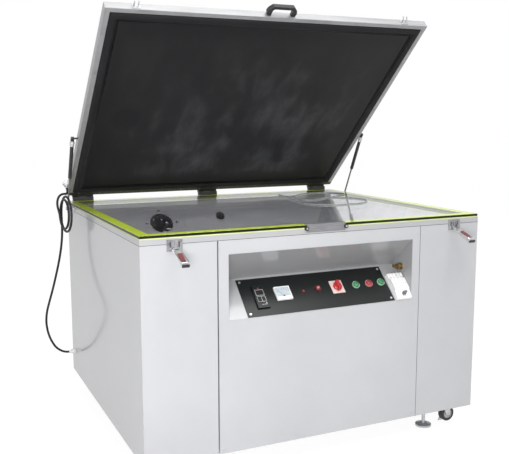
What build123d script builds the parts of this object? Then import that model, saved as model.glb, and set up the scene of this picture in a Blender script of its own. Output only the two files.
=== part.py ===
"""Screen printing exposure unit: cabinet with a glass bed, a hinged vacuum lid and its fittings.

Millimetres, +Z up, front towards -Y, floor at z = 0. Distances along y are first given from the
middle of the cabinet; cab_y then moves the cabinet so that the whole outline is centred.
"""

import os
from math import atan2, cos, degrees, hypot, pi, radians, sin, sqrt, tan

from build123d import *

os.makedirs("parts", exist_ok=True)

# ---------------------------------------------------------------- driving sizes
cab_w = 1400  # cabinet width over the side panels
cab_d = 1176  # cabinet depth over front and rear panels
base_z = 80  # underside of the cabinet
seam_z = 849  # top of the panels, underside of the rim
rim_h = 20
rim_w = 40
gasket_t = 4
glass_t = 10
sheet_t = 2  # cabinet sheet metal
tube_w = 40  # square base tube
tube_t = 2
weld_gap = 0.05  # joint line between separate bars of one frame
slip = 0.05  # radial play of pins in their bores
seam_left_x = -425  # dark front seam
seam_right_x = 420
seam_gap = 5
seam_gap_right = 1

half_w = cab_w / 2
half_d = cab_d / 2
rim_z = seam_z + rim_h
glass_z = rim_z + gasket_t + glass_t  # top of the glass

hinge_out = 24  # hinge axis behind the cabinet
hinge_up = 24  # hinge axis above the glass
hinge_y = half_d + hinge_out  # distances along y are from the middle of the cabinet
hinge_z = glass_z + hinge_up
knuckle_r = 11
lid_open = 42.6  # angle of the lid in the rest pose, degrees

latch_x = half_w - 120
latch_out = 12  # lever pivot in front of the cabinet
latch_y = -half_d - latch_out
latch_z = rim_z - 34
lever_len = 109
lever_down = 23.6  # lever below horizontal at rest, degrees
lip_h = 7

front_reach = -latch_y + lever_len * cos(radians(lever_down)) + lip_h * sin(radians(lever_down))
rear_reach = hinge_y + knuckle_r
cab_y = (front_reach - rear_reach) / 2

front = cab_y - half_d
rear = cab_y + half_d

strut_x = half_w + 22  # centre of each strut
strut_low_y = half_d - 114
strut_low_z = rim_z - 7
strut_s = 400  # upper pivot along the lid


# ---------------------------------------------------------------- helpers
def slab(x, y, z, mode=Mode.ADD):
    """Box between three pairs of limits."""
    with Locations(((x[0] + x[1]) / 2, (y[0] + y[1]) / 2, (z[0] + z[1]) / 2)):
        Box(x[1] - x[0], y[1] - y[0], z[1] - z[0], mode=mode)


def local_slab(plane, x, y, z, mode=Mode.ADD):
    """Box between limits given on a plane."""
    with Locations(plane):
        slab(x, y, z, mode)


def prism(plane, points, depth, mode=Mode.ADD):
    """Polygon on a plane, extruded along its normal."""
    with BuildSketch(plane) as outline:
        with BuildLine():
            Polyline(*points, close=True)
        make_face()
    extrude(outline.sketch, amount=depth, mode=mode)


def rod(plane, centre, radius, z0, z1, mode=Mode.ADD):
    """Cylinder along the normal of a plane, between two heights on it."""
    with BuildSketch(plane.offset(z0)) as outline:
        with Locations(centre):
            Circle(radius)
    extrude(outline.sketch, amount=z1 - z0, mode=mode)


def save(builder, name):
    builder.part.label = name
    export_step(builder.part, f"parts/{name}.step")


def across(y, z, x=0):
    """Plane square to X: local x runs along +Y and local y along +Z."""
    return Plane(origin=(x, cab_y + y, z), x_dir=(0, 1, 0), z_dir=(1, 0, 0))


def lid_at(angle):
    """Plane of the lid: local (x, -s, n), s from the hinge axis, n up when closed."""
    a = radians(angle)
    return Plane(origin=(0, cab_y + hinge_y, hinge_z), x_dir=(1, 0, 0), z_dir=(0, sin(a), cos(a)))


lid = lid_at(lid_open)
lid_a = radians(lid_open)

# ---------------------------------------------------------------- base frame
foot_x = half_w - 188
foot_y = half_d - 66
pad_r = 32.5
stem_r = 7
caster_x = half_w - 72  # wheel centre
trail = 20
wheel_r = 31.5
wheel_z = 35

post_c = half_w - sheet_t - tube_w / 2
side_tube = (post_c - tube_w / 2, post_c + tube_w / 2)
cross_end = side_tube[0] - weld_gap
base_top = base_z + tube_w
tube_in = tube_w / 2 - tube_t
floor_z = base_top + weld_gap
floor_t = 2
floor_top = floor_z + floor_t

with BuildPart() as chassis:
    for sx in (-1, 1):
        x = sorted((sx * side_tube[0], sx * side_tube[1]))
        slab(x, (front + sheet_t, rear - sheet_t), (base_z, base_top))
        inner = (sx * post_c - tube_in, sx * post_c + tube_in)
        slab(inner, (front, rear), (base_z + tube_t, base_top - tube_t), Mode.SUBTRACT)
        for y in (front + sheet_t + tube_w / 2, rear - sheet_t - tube_w / 2):
            z = (base_top + weld_gap, seam_z - weld_gap)
            slab(x, (y - tube_w / 2, y + tube_w / 2), z)
            slab(inner, (y - tube_in, y + tube_in), z, Mode.SUBTRACT)
    for y in (-foot_y, 0, foot_y):
        c = cab_y + y
        slab((-cross_end, cross_end), (c - tube_w / 2, c + tube_w / 2), (base_z, base_top))
        bore = (base_z + tube_t, base_top - tube_t)
        slab((-cross_end, cross_end), (c - tube_in, c + tube_in), bore, Mode.SUBTRACT)
    slab((-cross_end, cross_end), (cab_y - foot_y - 18, rear - 4), (floor_z, floor_top))
    with Locations([(x, cab_y + y, base_z) for x in (-foot_x, foot_x) for y in (-foot_y, foot_y)]):
        Cylinder(stem_r + slip, 2 * (tube_w - 1), mode=Mode.SUBTRACT)
save(chassis, "chassis")

stem_top = base_top - 2

with BuildPart() as leveling_feet:
    for x in (-foot_x, foot_x):
        for y in (-foot_y, foot_y):
            with Locations((x, cab_y + y, 0)):
                Cylinder(pad_r, 8, align=(Align.CENTER, Align.CENTER, Align.MIN))
                with Locations((0, 0, 8)):
                    Cone(pad_r - 4, 12, 7, align=(Align.CENTER, Align.CENTER, Align.MIN))
                Cylinder(stem_r, stem_top, align=(Align.CENTER, Align.CENTER, Align.MIN))
            with BuildSketch(Plane.XY.offset(base_z - 9)) as nut:
                with Locations((x, cab_y + y)):
                    RegularPolygon(12, 6)
            extrude(nut.sketch, amount=9 - weld_gap)
save(leveling_feet, "leveling_feet")

# ---------------------------------------------------------------- casters
pivot_x = caster_x - trail
plate_z = base_z - 5
king_r = 4
fork_top = plate_z - 3
fork_t = 3
wheel_w = 25
cheek_in = wheel_w / 2 + 1.5
axle_r = 3

with BuildPart() as caster_mounts:
    for sx in (-1, 1):
        y = cab_y - foot_y
        slab((sx * pivot_x - 30, sx * pivot_x + 30), (y - 20, y + 20), (plate_z, base_z - weld_gap))
        rod(Plane.XY, (sx * pivot_x, y), 18, fork_top + 0.3, plate_z)
        rod(Plane.XY, (sx * pivot_x, y), king_r, fork_top - fork_t - 4, plate_z)
        rod(Plane.XY, (sx * pivot_x, y), 7, fork_top - fork_t - 4, fork_top - fork_t - 0.3)
        y = cab_y + foot_y
        slab((sx * caster_x - 25, sx * caster_x + 25), (y - 20, y + 20), (plate_z, base_z - weld_gap))
        for side in (-1, 1):
            face = across(foot_y, wheel_z, sx * caster_x + side * (cheek_in + fork_t / 2) - fork_t / 2)
            top = plate_z + 1 - wheel_z
            prism(face, [(-18, top), (18, top), (9, -5), (-9, -5)], fork_t)
        rod(across(foot_y, wheel_z, sx * caster_x), (0, 0), axle_r, -cheek_in - 5, cheek_in + 5)
save(caster_mounts, "caster_mounts")

for sx, name in ((-1, "left"), (1, "right")):
    with BuildPart() as fork:
        y = cab_y - foot_y
        reach = sorted((sx * (pivot_x - 16), sx * (pivot_x + 28)))
        slab(reach, (y - cheek_in - fork_t, y + cheek_in + fork_t), (fork_top - fork_t, fork_top))
        rod(Plane.XY, (sx * pivot_x, y), king_r + slip, fork_top - fork_t - 1, fork_top + 1, Mode.SUBTRACT)
        for side in (-1, 1):
            leg = Plane(origin=(sx * caster_x, y + side * cheek_in, wheel_z), x_dir=(sx, 0, 0),
                        z_dir=(0, side, 0))
            top = fork_top - wheel_z
            prism(leg, [(-30, top), (8, top), (8, -5), (-8, -5), (-16, 12)], fork_t)
            rod(leg, (0, 0), axle_r, -cheek_in, fork_t + 2)
    save(fork, f"caster_fork_{name}")

for name, x, y, turned in (("front_left", -caster_x, -foot_y, True), ("front_right", caster_x, -foot_y, True),
                           ("rear_left", -caster_x, foot_y, False), ("rear_right", caster_x, foot_y, False)):
    spin = Plane(origin=(x, cab_y + y, wheel_z), x_dir=(0, 0, 1), z_dir=(0, 1, 0) if turned else (1, 0, 0))
    with BuildPart() as wheel:
        rod(spin, (0, 0), wheel_r, -wheel_w / 2, wheel_w / 2)
        fillet(wheel.edges().filter_by(GeomType.CIRCLE), 3)
        for side in (-1, 1):
            rod(spin, (0, 0), 20, side * wheel_w / 2, side * (wheel_w / 2 - 3), Mode.SUBTRACT)
            rod(spin, (0, 0), 8, side * (wheel_w / 2 - 4), side * (wheel_w / 2 + 1))
        rod(spin, (0, 0), axle_r + slip, -wheel_w, wheel_w, Mode.SUBTRACT)
    save(wheel, f"caster_wheel_{name}")

# ---------------------------------------------------------------- rim, gasket, glass
in_x = half_w - rim_w
in_y = half_d - rim_w
rim_t = 2


def ring_bars(z0, z1, wall=0, mode=Mode.ADD):
    """Four butted bars as wide as the rim, or what lies inside their walls."""
    for s in (-1, 1):
        y = sorted((cab_y + s * (in_y + wall), cab_y + s * (half_d - wall)))
        slab((-half_w + wall, half_w - wall), y, (z0 + wall, z1 - wall), mode)
        x = sorted((s * (in_x + wall), s * (half_w - wall)))
        run = in_y - weld_gap - wall
        slab(x, (cab_y - run, cab_y + run), (z0 + wall, z1 - wall), mode)


with BuildPart() as top_rim:
    ring_bars(seam_z, rim_z)
    ring_bars(seam_z, rim_z, rim_t, Mode.SUBTRACT)
save(top_rim, "top_rim")

with BuildPart() as glass_gasket:
    ring_bars(rim_z, rim_z + gasket_t)
save(glass_gasket, "glass_gasket")

with BuildPart() as glass_plate:
    slab((-half_w, half_w), (front, rear), (rim_z + gasket_t, glass_z))
    chamfer(glass_plate.edges().filter_by(Axis.Z), 3)
    chamfer(glass_plate.faces().sort_by(Axis.Z)[-1].edges(), 1)
save(glass_plate, "glass_plate")

guard_x = 80
guard_t = 2
guard_z = rim_z - 14
with BuildPart() as glass_guard:
    slab((-guard_x, guard_x), (front - guard_t, front), (guard_z, glass_z + guard_t))
    slab((-guard_x, guard_x), (front, front + 22), (glass_z, glass_z + guard_t))
    for sx in (-1, 1):
        face = Plane(origin=(sx * (guard_x + 2), front, rim_z + 1), x_dir=(1, 0, 0), z_dir=(0, -1, 0))
        rod(face, (0, 0), 8, 0, 7)
        rod(face, (0, 0), 3.5, 7, 9)
save(glass_guard, "glass_guard")

# ---------------------------------------------------------------- cabinet panels
fitting_y = half_d - 52
fitting_z = 179
fitting_r = 6

with BuildPart() as side_panel_left:
    slab((-half_w, -half_w + sheet_t), (front, rear), (base_z, seam_z))
    slab((-half_w, seam_left_x - seam_gap / 2), (front, front + sheet_t), (base_z, seam_z))
    slab((seam_left_x - seam_gap / 2 - sheet_t, seam_left_x - seam_gap / 2), (front, front + 14),
         (base_z, seam_z))
    rod(across(fitting_y, fitting_z, -half_w), (0, 0), fitting_r + 0.2, -5, 5, Mode.SUBTRACT)
save(side_panel_left, "side_panel_left")

with BuildPart() as side_panel_right:
    slab((half_w - sheet_t, half_w), (front, rear), (base_z, seam_z))
    slab((seam_right_x + seam_gap_right / 2, half_w), (front, front + sheet_t), (base_z, seam_z))
    slab((seam_right_x + seam_gap_right / 2, seam_right_x + seam_gap_right / 2 + sheet_t),
         (front, front + 14), (base_z, seam_z))
save(side_panel_right, "side_panel_right")

gland_x = half_w - 200
gland_z = 200
gland_r = 9
fan_x = -290
louvre_z = seam_z - 209
with BuildPart() as rear_panel:
    slab((-half_w + sheet_t + weld_gap, half_w - sheet_t - weld_gap), (rear - sheet_t, rear),
         (base_z, seam_z))
    for row in range(9):
        z = louvre_z + 16 * row
        slab((fan_x - 90, fan_x + 90), (rear - 5, rear + 5), (z, z + 6), Mode.SUBTRACT)
    back = Plane(origin=(0, rear, 0), x_dir=(-1, 0, 0), z_dir=(0, 1, 0))
    rod(back, (-gland_x, gland_z), gland_r + 0.2, -5, 5, Mode.SUBTRACT)
    for x in (-half_w + 160, -150, 150, half_w - 160):
        for z in (base_z + 30, (base_z + seam_z) / 2 - 4.5, seam_z - 59):
            rod(back, (x, z), 4, 0, 2)
save(rear_panel, "rear_panel")

recess_x = 385
shelf_z = seam_z - 286  # front edge of the shelf
recess_low = shelf_z + 0.5
recess_top = seam_z - 49
crease_in = 127  # depth of the recess at its crease
crease_z = seam_z - 167
with BuildPart() as front_panel:
    span = (seam_left_x + seam_gap / 2, seam_right_x - seam_gap_right / 2)
    slab(span, (front, front + sheet_t), (base_z, seam_z))
    slab((span[0], span[0] + sheet_t), (front, front + 14), (base_z, seam_z))
    slab((span[1] - sheet_t, span[1]), (front, front + 14), (base_z, seam_z))
    slab((-recess_x, recess_x), (front - 5, front + 5), (recess_low, recess_top), Mode.SUBTRACT)
    face = Plane(origin=(0, front, 0), x_dir=(1, 0, 0), z_dir=(0, -1, 0))
    top, low = seam_z - 26, base_z + 14
    for x, z in ((seam_left_x + 10, top), (seam_right_x - 12, top), (seam_left_x + 19, low),
                 (seam_right_x - 22, low)):
        rod(face, (x, z), 4, 0, 2)
save(front_panel, "front_panel")

# ---------------------------------------------------------------- control recess and shelf
shelf_a = atan2(crease_z - shelf_z, crease_in)
shelf = Plane(origin=(0, front, shelf_z), x_dir=(1, 0, 0), z_dir=(0, -sin(shelf_a), cos(shelf_a)))
shelf_len = hypot(crease_z - shelf_z, crease_in)

plate_x = 310
plate_s = (3, 165)
plate_t = 2
button_s = 90
buttons = (("button_start", 171), ("button_stop", 229), ("button_vacuum", 284))
cap_r = 12
stem_button_r = 5
timer_x = (-262, -214)
timer_s = (33, 129)
meter_x = (-176, -114)
meter_s = (58, 114)
knob_c = (87, 90)
spindle_r = 3
lamp_small = (-59, 87)
lamp_big = (4, 92)
valve_in = 73
valve_z = crease_z - 1


def control_holes(z0, z1):
    """Cut-outs for the instruments in the plate and in the shelf behind it."""
    mt = 4
    local_slab(shelf, (timer_x[0] + mt, timer_x[1] - mt), (timer_s[0] + mt, timer_s[1] - mt), (z0, z1),
               Mode.SUBTRACT)
    rod(shelf, ((meter_x[0] + meter_x[1]) / 2, (meter_s[0] + meter_s[1]) / 2), 24.5, z0, z1, Mode.SUBTRACT)
    for x, s, r in ((*lamp_small, 5.2), (*lamp_big, 8.2), (*knob_c, 12.2)):
        rod(shelf, (x, s), r, z0, z1, Mode.SUBTRACT)
    for _, x in buttons:
        rod(shelf, (x, button_s), stem_button_r + 0.3, z0, z1, Mode.SUBTRACT)


inner_front = front + sheet_t
crease_y = front + crease_in
shelf_in_z = shelf_z + sheet_t * tan(shelf_a)
roof_in_z = recess_top - sheet_t * (recess_top - crease_z) / crease_in
recess_plane = Plane(origin=(-recess_x, 0, 0), x_dir=(0, 1, 0), z_dir=(1, 0, 0))
skin = 3  # thickness of the sloped sheets, measured upright
back_y = crease_y + skin
with BuildPart() as control_recess:
    # the shelf and the roof are welded along the crease, and the cheeks close their ends
    prism(recess_plane, [(inner_front, shelf_in_z - skin), (inner_front, shelf_in_z), (crease_y, crease_z),
                         (back_y, crease_z)], 2 * recess_x)
    control_holes(-10, 10)
    prism(recess_plane, [(inner_front, roof_in_z + skin), (back_y, crease_z + weld_gap),
                         (crease_y, crease_z + weld_gap), (inner_front, roof_in_z)], 2 * recess_x)
    for x in (-recess_x - sheet_t, recess_x + weld_gap):
        cheek = Plane(origin=(x, 0, 0), x_dir=(0, 1, 0), z_dir=(1, 0, 0))
        prism(cheek, [(inner_front, shelf_in_z - skin), (back_y, crease_z), (inner_front, roof_in_z + skin)],
              sheet_t - weld_gap)
save(control_recess, "control_recess")

with BuildPart() as control_plate:
    local_slab(shelf, (-plate_x, plate_x), plate_s, (0, plate_t))
    control_holes(-10, 10)
    for x in (-plate_x + 12, plate_x - 12):
        for s in (plate_s[0] + 12, plate_s[1] - 12):
            rod(shelf, (x, s), 4.5, plate_t, plate_t + 2)
    for _, x in buttons:
        rod(shelf, (x, button_s), 15.5, plate_t, plate_t + 5)
        rod(shelf, (x, button_s), cap_r + 0.4, plate_t, plate_t + 5, Mode.SUBTRACT)
save(control_plate, "control_plate")

with BuildPart() as timer:
    local_slab(shelf, timer_x, timer_s, (plate_t, plate_t + 7))
    local_slab(shelf, (timer_x[0] + 4.3, timer_x[1] - 4.3), (timer_s[0] + 4.3, timer_s[1] - 4.3),
               (-38, plate_t))
    for s in (timer_s[0] + 5, timer_s[0] + 51):
        window = (timer_x[0] + 6, timer_x[1] - 6)
        local_slab(shelf, window, (s, s + 40), (plate_t + 5.5, plate_t + 8), Mode.SUBTRACT)
save(timer, "timer")

with BuildPart() as panel_meter:
    local_slab(shelf, meter_x, meter_s, (plate_t, plate_t + 8))
    local_slab(shelf, (meter_x[0] + 3, meter_x[1] - 3), (meter_s[0] + 3, meter_s[1] - 3),
               (plate_t + 6.5, plate_t + 9), Mode.SUBTRACT)
    centre = ((meter_x[0] + meter_x[1]) / 2, (meter_s[0] + meter_s[1]) / 2)
    rod(shelf, (centre[0], meter_s[0] + 12), 5, plate_t + 6.5, plate_t + 8)
    rod(shelf, centre, 24.2, -30, plate_t)
save(panel_meter, "panel_meter")

with BuildPart() as pilot_lamps:
    rod(shelf, lamp_small, 7, plate_t, plate_t + 2)
    rod(shelf, lamp_small, 5, -12, plate_t + 5)
    rod(shelf, lamp_big, 13, plate_t, plate_t + 4)
    rod(shelf, lamp_big, 10, plate_t + 4, plate_t + 9)
    rod(shelf, lamp_big, 8, -25, plate_t)
save(pilot_lamps, "pilot_lamps")

knob_low = plate_t + 4
with BuildPart() as switch_plate:
    local_slab(shelf, (knob_c[0] - 26, knob_c[0] + 26), (knob_c[1] - 28, knob_c[1] + 28),
               (plate_t, plate_t + 3))
    rod(shelf, knob_c, 12, -35, plate_t)
    rod(shelf, knob_c, spindle_r, plate_t, knob_low + 14)
save(switch_plate, "switch_plate")

knob_plane = Plane(origin=shelf.from_local_coords((*knob_c, 0)), x_dir=shelf.x_dir, z_dir=shelf.z_dir)
with BuildPart() as switch_knob:
    rod(knob_plane, (0, 0), 15, knob_low, knob_low + 7)
    local_slab(knob_plane, (-6, 6), (-19, 19), (knob_low, knob_low + 18))
    rod(knob_plane, (0, 0), spindle_r + slip, knob_low - 1, knob_low + 14.5, Mode.SUBTRACT)
save(switch_knob, "switch_knob")

for name, x in buttons:
    with BuildPart() as button:
        rod(shelf, (x, button_s), cap_r, plate_t + 3.5, plate_t + 9)
        rod(shelf, (x, button_s), stem_button_r, -14, plate_t + 4)
    save(button, name)

breaker_x = (318, 384)
breaker_profile = [(1.5, 0.1), (1.5, 14), (36, 30), (40, 42), (94, 42), (96, 20), (116, 20), (116, 0.1)]
toggle_s = 20
toggle_n = 12
toggle_x = (345, 361)
side_on = Plane(origin=shelf.from_local_coords((breaker_x[0], 0, 0)), x_dir=shelf.y_dir, z_dir=shelf.x_dir)
with BuildPart() as breaker_body:
    prism(side_on, breaker_profile, breaker_x[1] - breaker_x[0])
    for k in range(4):
        x = breaker_x[0] + 5 + k * 16.2
        local_slab(shelf, (x, x + 7.5), (97, 110), (20, 25))
    local_slab(shelf, (breaker_x[0] - 1, breaker_x[1] + 1), (66, 67.5), (41, 43), Mode.SUBTRACT)
    local_slab(shelf, (toggle_x[0] - 1, toggle_x[1] + 1), (toggle_s - 12, toggle_s + 12), (4, 50),
               Mode.SUBTRACT)
    start = toggle_x[0] - breaker_x[0] - 5
    rod(side_on, (toggle_s, toggle_n), 2 + slip, start, start + 26, Mode.SUBTRACT)
save(breaker_body, "breaker_body")

with BuildPart() as breaker_handle:
    start = toggle_x[0] - breaker_x[0]
    rod(side_on, (toggle_s, toggle_n), 6, start, start + 16)
    prism(side_on.offset(start), [(toggle_s - 4, toggle_n), (toggle_s + 4, toggle_n),
                                  (toggle_s + 3, toggle_n + 20), (toggle_s - 3, toggle_n + 20)], 16)
    rod(side_on, (toggle_s, toggle_n), 2, start - 4, start + 20)
save(breaker_handle, "breaker_handle")

valve = Plane(origin=(recess_x, front + valve_in, valve_z), x_dir=(0, 1, 0), z_dir=(-1, 0, 0))
with BuildPart() as valve_body:
    rod(valve, (0, 0), 14, 0, 6)
    with BuildSketch(valve.offset(6)) as hexagon:
        RegularPolygon(13, 6)
    extrude(hexagon.sketch, amount=14)
    rod(valve, (0, 0), spindle_r, 20, 30)
save(valve_body, "valve_body")

with BuildPart() as valve_handle:
    rod(valve, (0, 0), 8, 20.3, 27)
    prism(valve.offset(21.3), [(-22, -7), (-22, 7), (0, 5), (22, 7), (22, -7), (0, -5)], 4.5)
    rod(valve, (0, 0), spindle_r + slip, 10, 40, Mode.SUBTRACT)
save(valve_handle, "valve_handle")

# ---------------------------------------------------------------- light chamber
wall_t = 2
mouth_z = 491
chamber_top = rim_z - 3
drop = chamber_top - mouth_z
top_seat = wall_t / sqrt(2) + weld_gap  # the chamber's top edge bears on the rim
top_x = in_x - top_seat
top_y = in_y - top_seat
mouth_x = top_x - drop
mouth_y = top_y - drop
slope = drop * sqrt(2)
bowl_z = 330
bowl_x = mouth_x - 110
bowl_y = mouth_y - 60
port_r = 56
port = (fan_x, half_d - 135)
eye = (14, half_d - 120)
mitre = 0.05
bolt_ring = 74


def wall_plane(sx, sy, at, z, run_in, run_down):
    """Plane on the inside of a sloped wall, normal pointing out, local y running down."""
    length = hypot(run_in, run_down)
    if sy:
        return Plane(origin=(0, cab_y + sy * at, z), x_dir=(-sy, 0, 0),
                     z_dir=(0, sy * run_down / length, -run_in / length))
    return Plane(origin=(sx * at, cab_y, z), x_dir=(0, sx, 0),
                 z_dir=(sx * run_down / length, 0, -run_in / length))


def trapezoid(half_top, half_low, run):
    return [(half_top - mitre, 0), (half_low - mitre, run), (-half_low + mitre, run), (-half_top + mitre, 0)]


rear_wall = wall_plane(0, 1, top_y, chamber_top, drop, drop)
with BuildPart() as light_chamber:
    for sx, sy in ((0, 1), (0, -1), (1, 0), (-1, 0)):
        at, half, low = (top_y, top_x, mouth_x) if sy else (top_x, top_y, mouth_y)
        wall = wall_plane(sx, sy, at, chamber_top, drop, drop)
        down = -1 if (wall.y_dir.Z > 0) else 1
        prism(wall, [(x, down * y) for x, y in trapezoid(half, low, slope)], wall_t)
    depth_in = chamber_top - (top_y - port[1])
    fan = Plane(origin=(port[0], cab_y + port[1], depth_in), x_dir=(1, 0, 0), z_dir=rear_wall.z_dir)
    eye_z = chamber_top - (top_y - eye[1])
    eyelet = Plane(origin=(eye[0], cab_y + eye[1], eye_z), x_dir=(1, 0, 0), z_dir=rear_wall.z_dir)
    rod(fan, (0, 0), port_r, -5, 5, Mode.SUBTRACT)
    rod(eyelet, (0, 0), 16, -5, 5, Mode.SUBTRACT)
    for k in range(4):
        with BuildSketch(fan.offset(-5)) as holes:
            with PolarLocations(bolt_ring, 4):
                Circle(2.6)
    extrude(holes.sketch, amount=10, mode=Mode.SUBTRACT)
    fall = mouth_z - bowl_z - mitre
    for sx, sy in ((0, 1), (0, -1), (1, 0), (-1, 0)):
        at, half, low = (mouth_y, mouth_x, bowl_x) if sy else (mouth_x, mouth_y, bowl_y)
        run_in = mouth_y - bowl_y if sy else mouth_x - bowl_x
        wall = wall_plane(sx, sy, at, mouth_z - mitre, run_in, fall)
        down = -1 if (wall.y_dir.Z > 0) else 1
        prism(wall, [(x, down * y) for x, y in trapezoid(half, low, hypot(run_in, fall))], wall_t)
    slab((-bowl_x, bowl_x), (cab_y - bowl_y, cab_y + bowl_y), (bowl_z - wall_t - mitre, bowl_z - mitre))
save(light_chamber, "light_chamber")

bowl_floor = bowl_z - mitre
lamp_half = bowl_x - 48
with BuildPart() as lamp:
    bulb = across(0, bowl_floor + 60)
    rod(bulb, (0, 0), 23, -lamp_half + 25, lamp_half - 25)
    rod(bulb, (0, 0), 14, -lamp_half, lamp_half)
    for sx in (-1, 1):
        holder = sorted((sx * (lamp_half - 21), sx * (lamp_half - 1)))
        slab(holder, (cab_y - 22, cab_y + 22), (bowl_floor, bowl_floor + 78))
save(lamp, "lamp")

fan_t = 38
fan_half = 59.5
with BuildPart() as fan_frame:
    turned = Plane(origin=fan.origin, x_dir=fan.x_dir + fan.y_dir, z_dir=fan.z_dir)
    box = (-fan_half, fan_half)
    local_slab(turned, box, box, (wall_t + 0.05, wall_t + fan_t))
    rod(fan, (0, 0), port_r + 1, wall_t - 1, wall_t + fan_t + 1, Mode.SUBTRACT)
    motor = wall_t + fan_t - 4
    rod(fan, (0, 0), 20, motor, wall_t + fan_t)
    for k in range(3):
        a = 2 * pi * k / 3
        arm = Plane(origin=fan.origin, x_dir=fan.x_dir * cos(a) + fan.y_dir * sin(a), z_dir=fan.z_dir)
        local_slab(arm, (18, port_r + 1.5), (-4, 4), (motor, wall_t + fan_t))
    rod(fan, (0, 0), 2.5, wall_t + 8, motor)
    for k in range(4):
        c = (bolt_ring * cos(pi * k / 2), bolt_ring * sin(pi * k / 2))
        rod(fan, c, 2.3, -0.5, wall_t + 1)
        rod(fan, c, 5, -3, -0.1)
save(fan_frame, "fan_frame")

with BuildPart() as fan_impeller:
    rod(fan, (0, 0), 20, wall_t + 6, motor - 1)
    for k in range(7):
        a = 2 * pi * k / 7
        out = fan.x_dir * cos(a) + fan.y_dir * sin(a)
        tilt = fan.z_dir * cos(radians(38)) + fan.z_dir.cross(out) * sin(radians(38))
        blade = Plane(origin=fan.origin + fan.z_dir * (wall_t + 19), x_dir=out, z_dir=tilt)
        local_slab(blade, (16, 53), (-14, 14), (-1, 1))
    rod(fan, (0, 0), 2.5 + slip, 0, 60, Mode.SUBTRACT)
save(fan_impeller, "fan_impeller")

with BuildPart() as cable_grommets:
    rod(eyelet, (0, 0), 15.8, -3, wall_t + 6)
    rod(eyelet, (0, 0), 22.5, -4, -0.1)
    rod(eyelet, (0, 0), 20, wall_t + 0.1, wall_t + 6)
    rod(back, (-gland_x, gland_z), gland_r, -10, 3)
    rod(back, (-gland_x, gland_z), 15, 0.1, 8)
    with BuildSketch(back.offset(8)) as dome:
        with Locations((-gland_x, gland_z)):
            RegularPolygon(13, 6)
    extrude(dome.sketch, amount=12)
    rod(back, (-gland_x, gland_z), 14, -12, -2.1)
    rod(back, (-gland_x, gland_z), 5, -20, 30, Mode.SUBTRACT)
save(cable_grommets, "cable_grommets")

# ---------------------------------------------------------------- machines on the floor sheet
pump_x = -half_w + 230
pump_y = rear - 288  # front end of the base plate
with BuildPart() as vacuum_pump:
    slab((pump_x - 70, pump_x + 70), (pump_y, pump_y + 220), (floor_top, floor_top + 6))
    body = Plane(origin=(pump_x, pump_y, floor_top + 72), x_dir=(1, 0, 0), z_dir=(0, 1, 0))
    rod(body, (0, 0), 55, 50, 200)
    rod(body, (0, 0), 46, 20, 50)
    slab((pump_x - 40, pump_x + 40), (pump_y + 60, pump_y + 190), (floor_top + 6, floor_top + 40))
    slab((pump_x - 45, pump_x + 45), (pump_y + 25, pump_y + 45), (floor_top + 60, floor_top + 165))
    rod(Plane.XY, (pump_x - 20, pump_y + 35), 8, floor_top + 160, floor_top + 190)
save(vacuum_pump, "vacuum_pump")

ballast_x = half_w - 270
ballast_y = rear - 528
with BuildPart() as lamp_ballast:
    top = floor_top + 100
    slab((ballast_x - 60, ballast_x + 60), (ballast_y, ballast_y + 180), (floor_top, top))
    slab((ballast_x - 45, ballast_x + 45), (ballast_y + 15, ballast_y + 165), (top, top + 25))
    for k in range(2):
        rod(Plane.XY, (ballast_x - 30 + 60 * k, ballast_y + 240), 25, floor_top, top)
save(lamp_ballast, "lamp_ballast")

# ---------------------------------------------------------------- front latches
ear_x = 5.5
ear_t = 2
flange_x = 8
channel_x = 10
pin_r = 2.5
bail_at = 12  # bail pivot along the lever
bail_r = 2
bail_x = 13
bail_len = 88
bail_tilt = 6.5
lever_a = radians(lever_down)


def lever_at(x):
    """Plane of a lever: local y runs out along it, z up off its face."""
    return Plane(origin=(x, cab_y + latch_y, latch_z), x_dir=(-1, 0, 0),
                 z_dir=(0, -sin(lever_a), cos(lever_a)))


with BuildPart() as latch_bases:
    for x in (-latch_x, latch_x):
        slab((x - 27.5, x + 27.5), (front - 3, front), (latch_z - 10, latch_z + 30))
        for dx in (-21, 21):
            for z in (latch_z - 4, latch_z + 24):
                face = Plane(origin=(x + dx, front - 3, z), x_dir=(1, 0, 0), z_dir=(0, -1, 0))
                rod(face, (0, 0), 3.5, 0, 1.5)
        for side in (-1, 1):
            face = across(latch_y, latch_z, x + side * (ear_x + ear_t / 2) - ear_t / 2)
            root = latch_out - 2.5  # runs into the base plate
            ear = [(root, -8), (root, 24), (5, 24), (-4, 5), (-5.5, 0), (-3.5, -4.5)]
            prism(face, ear, ear_t)
        rod(across(latch_y, latch_z, x), (0, 0), pin_r, -channel_x, channel_x)
save(latch_bases, "latch_bases")

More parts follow.
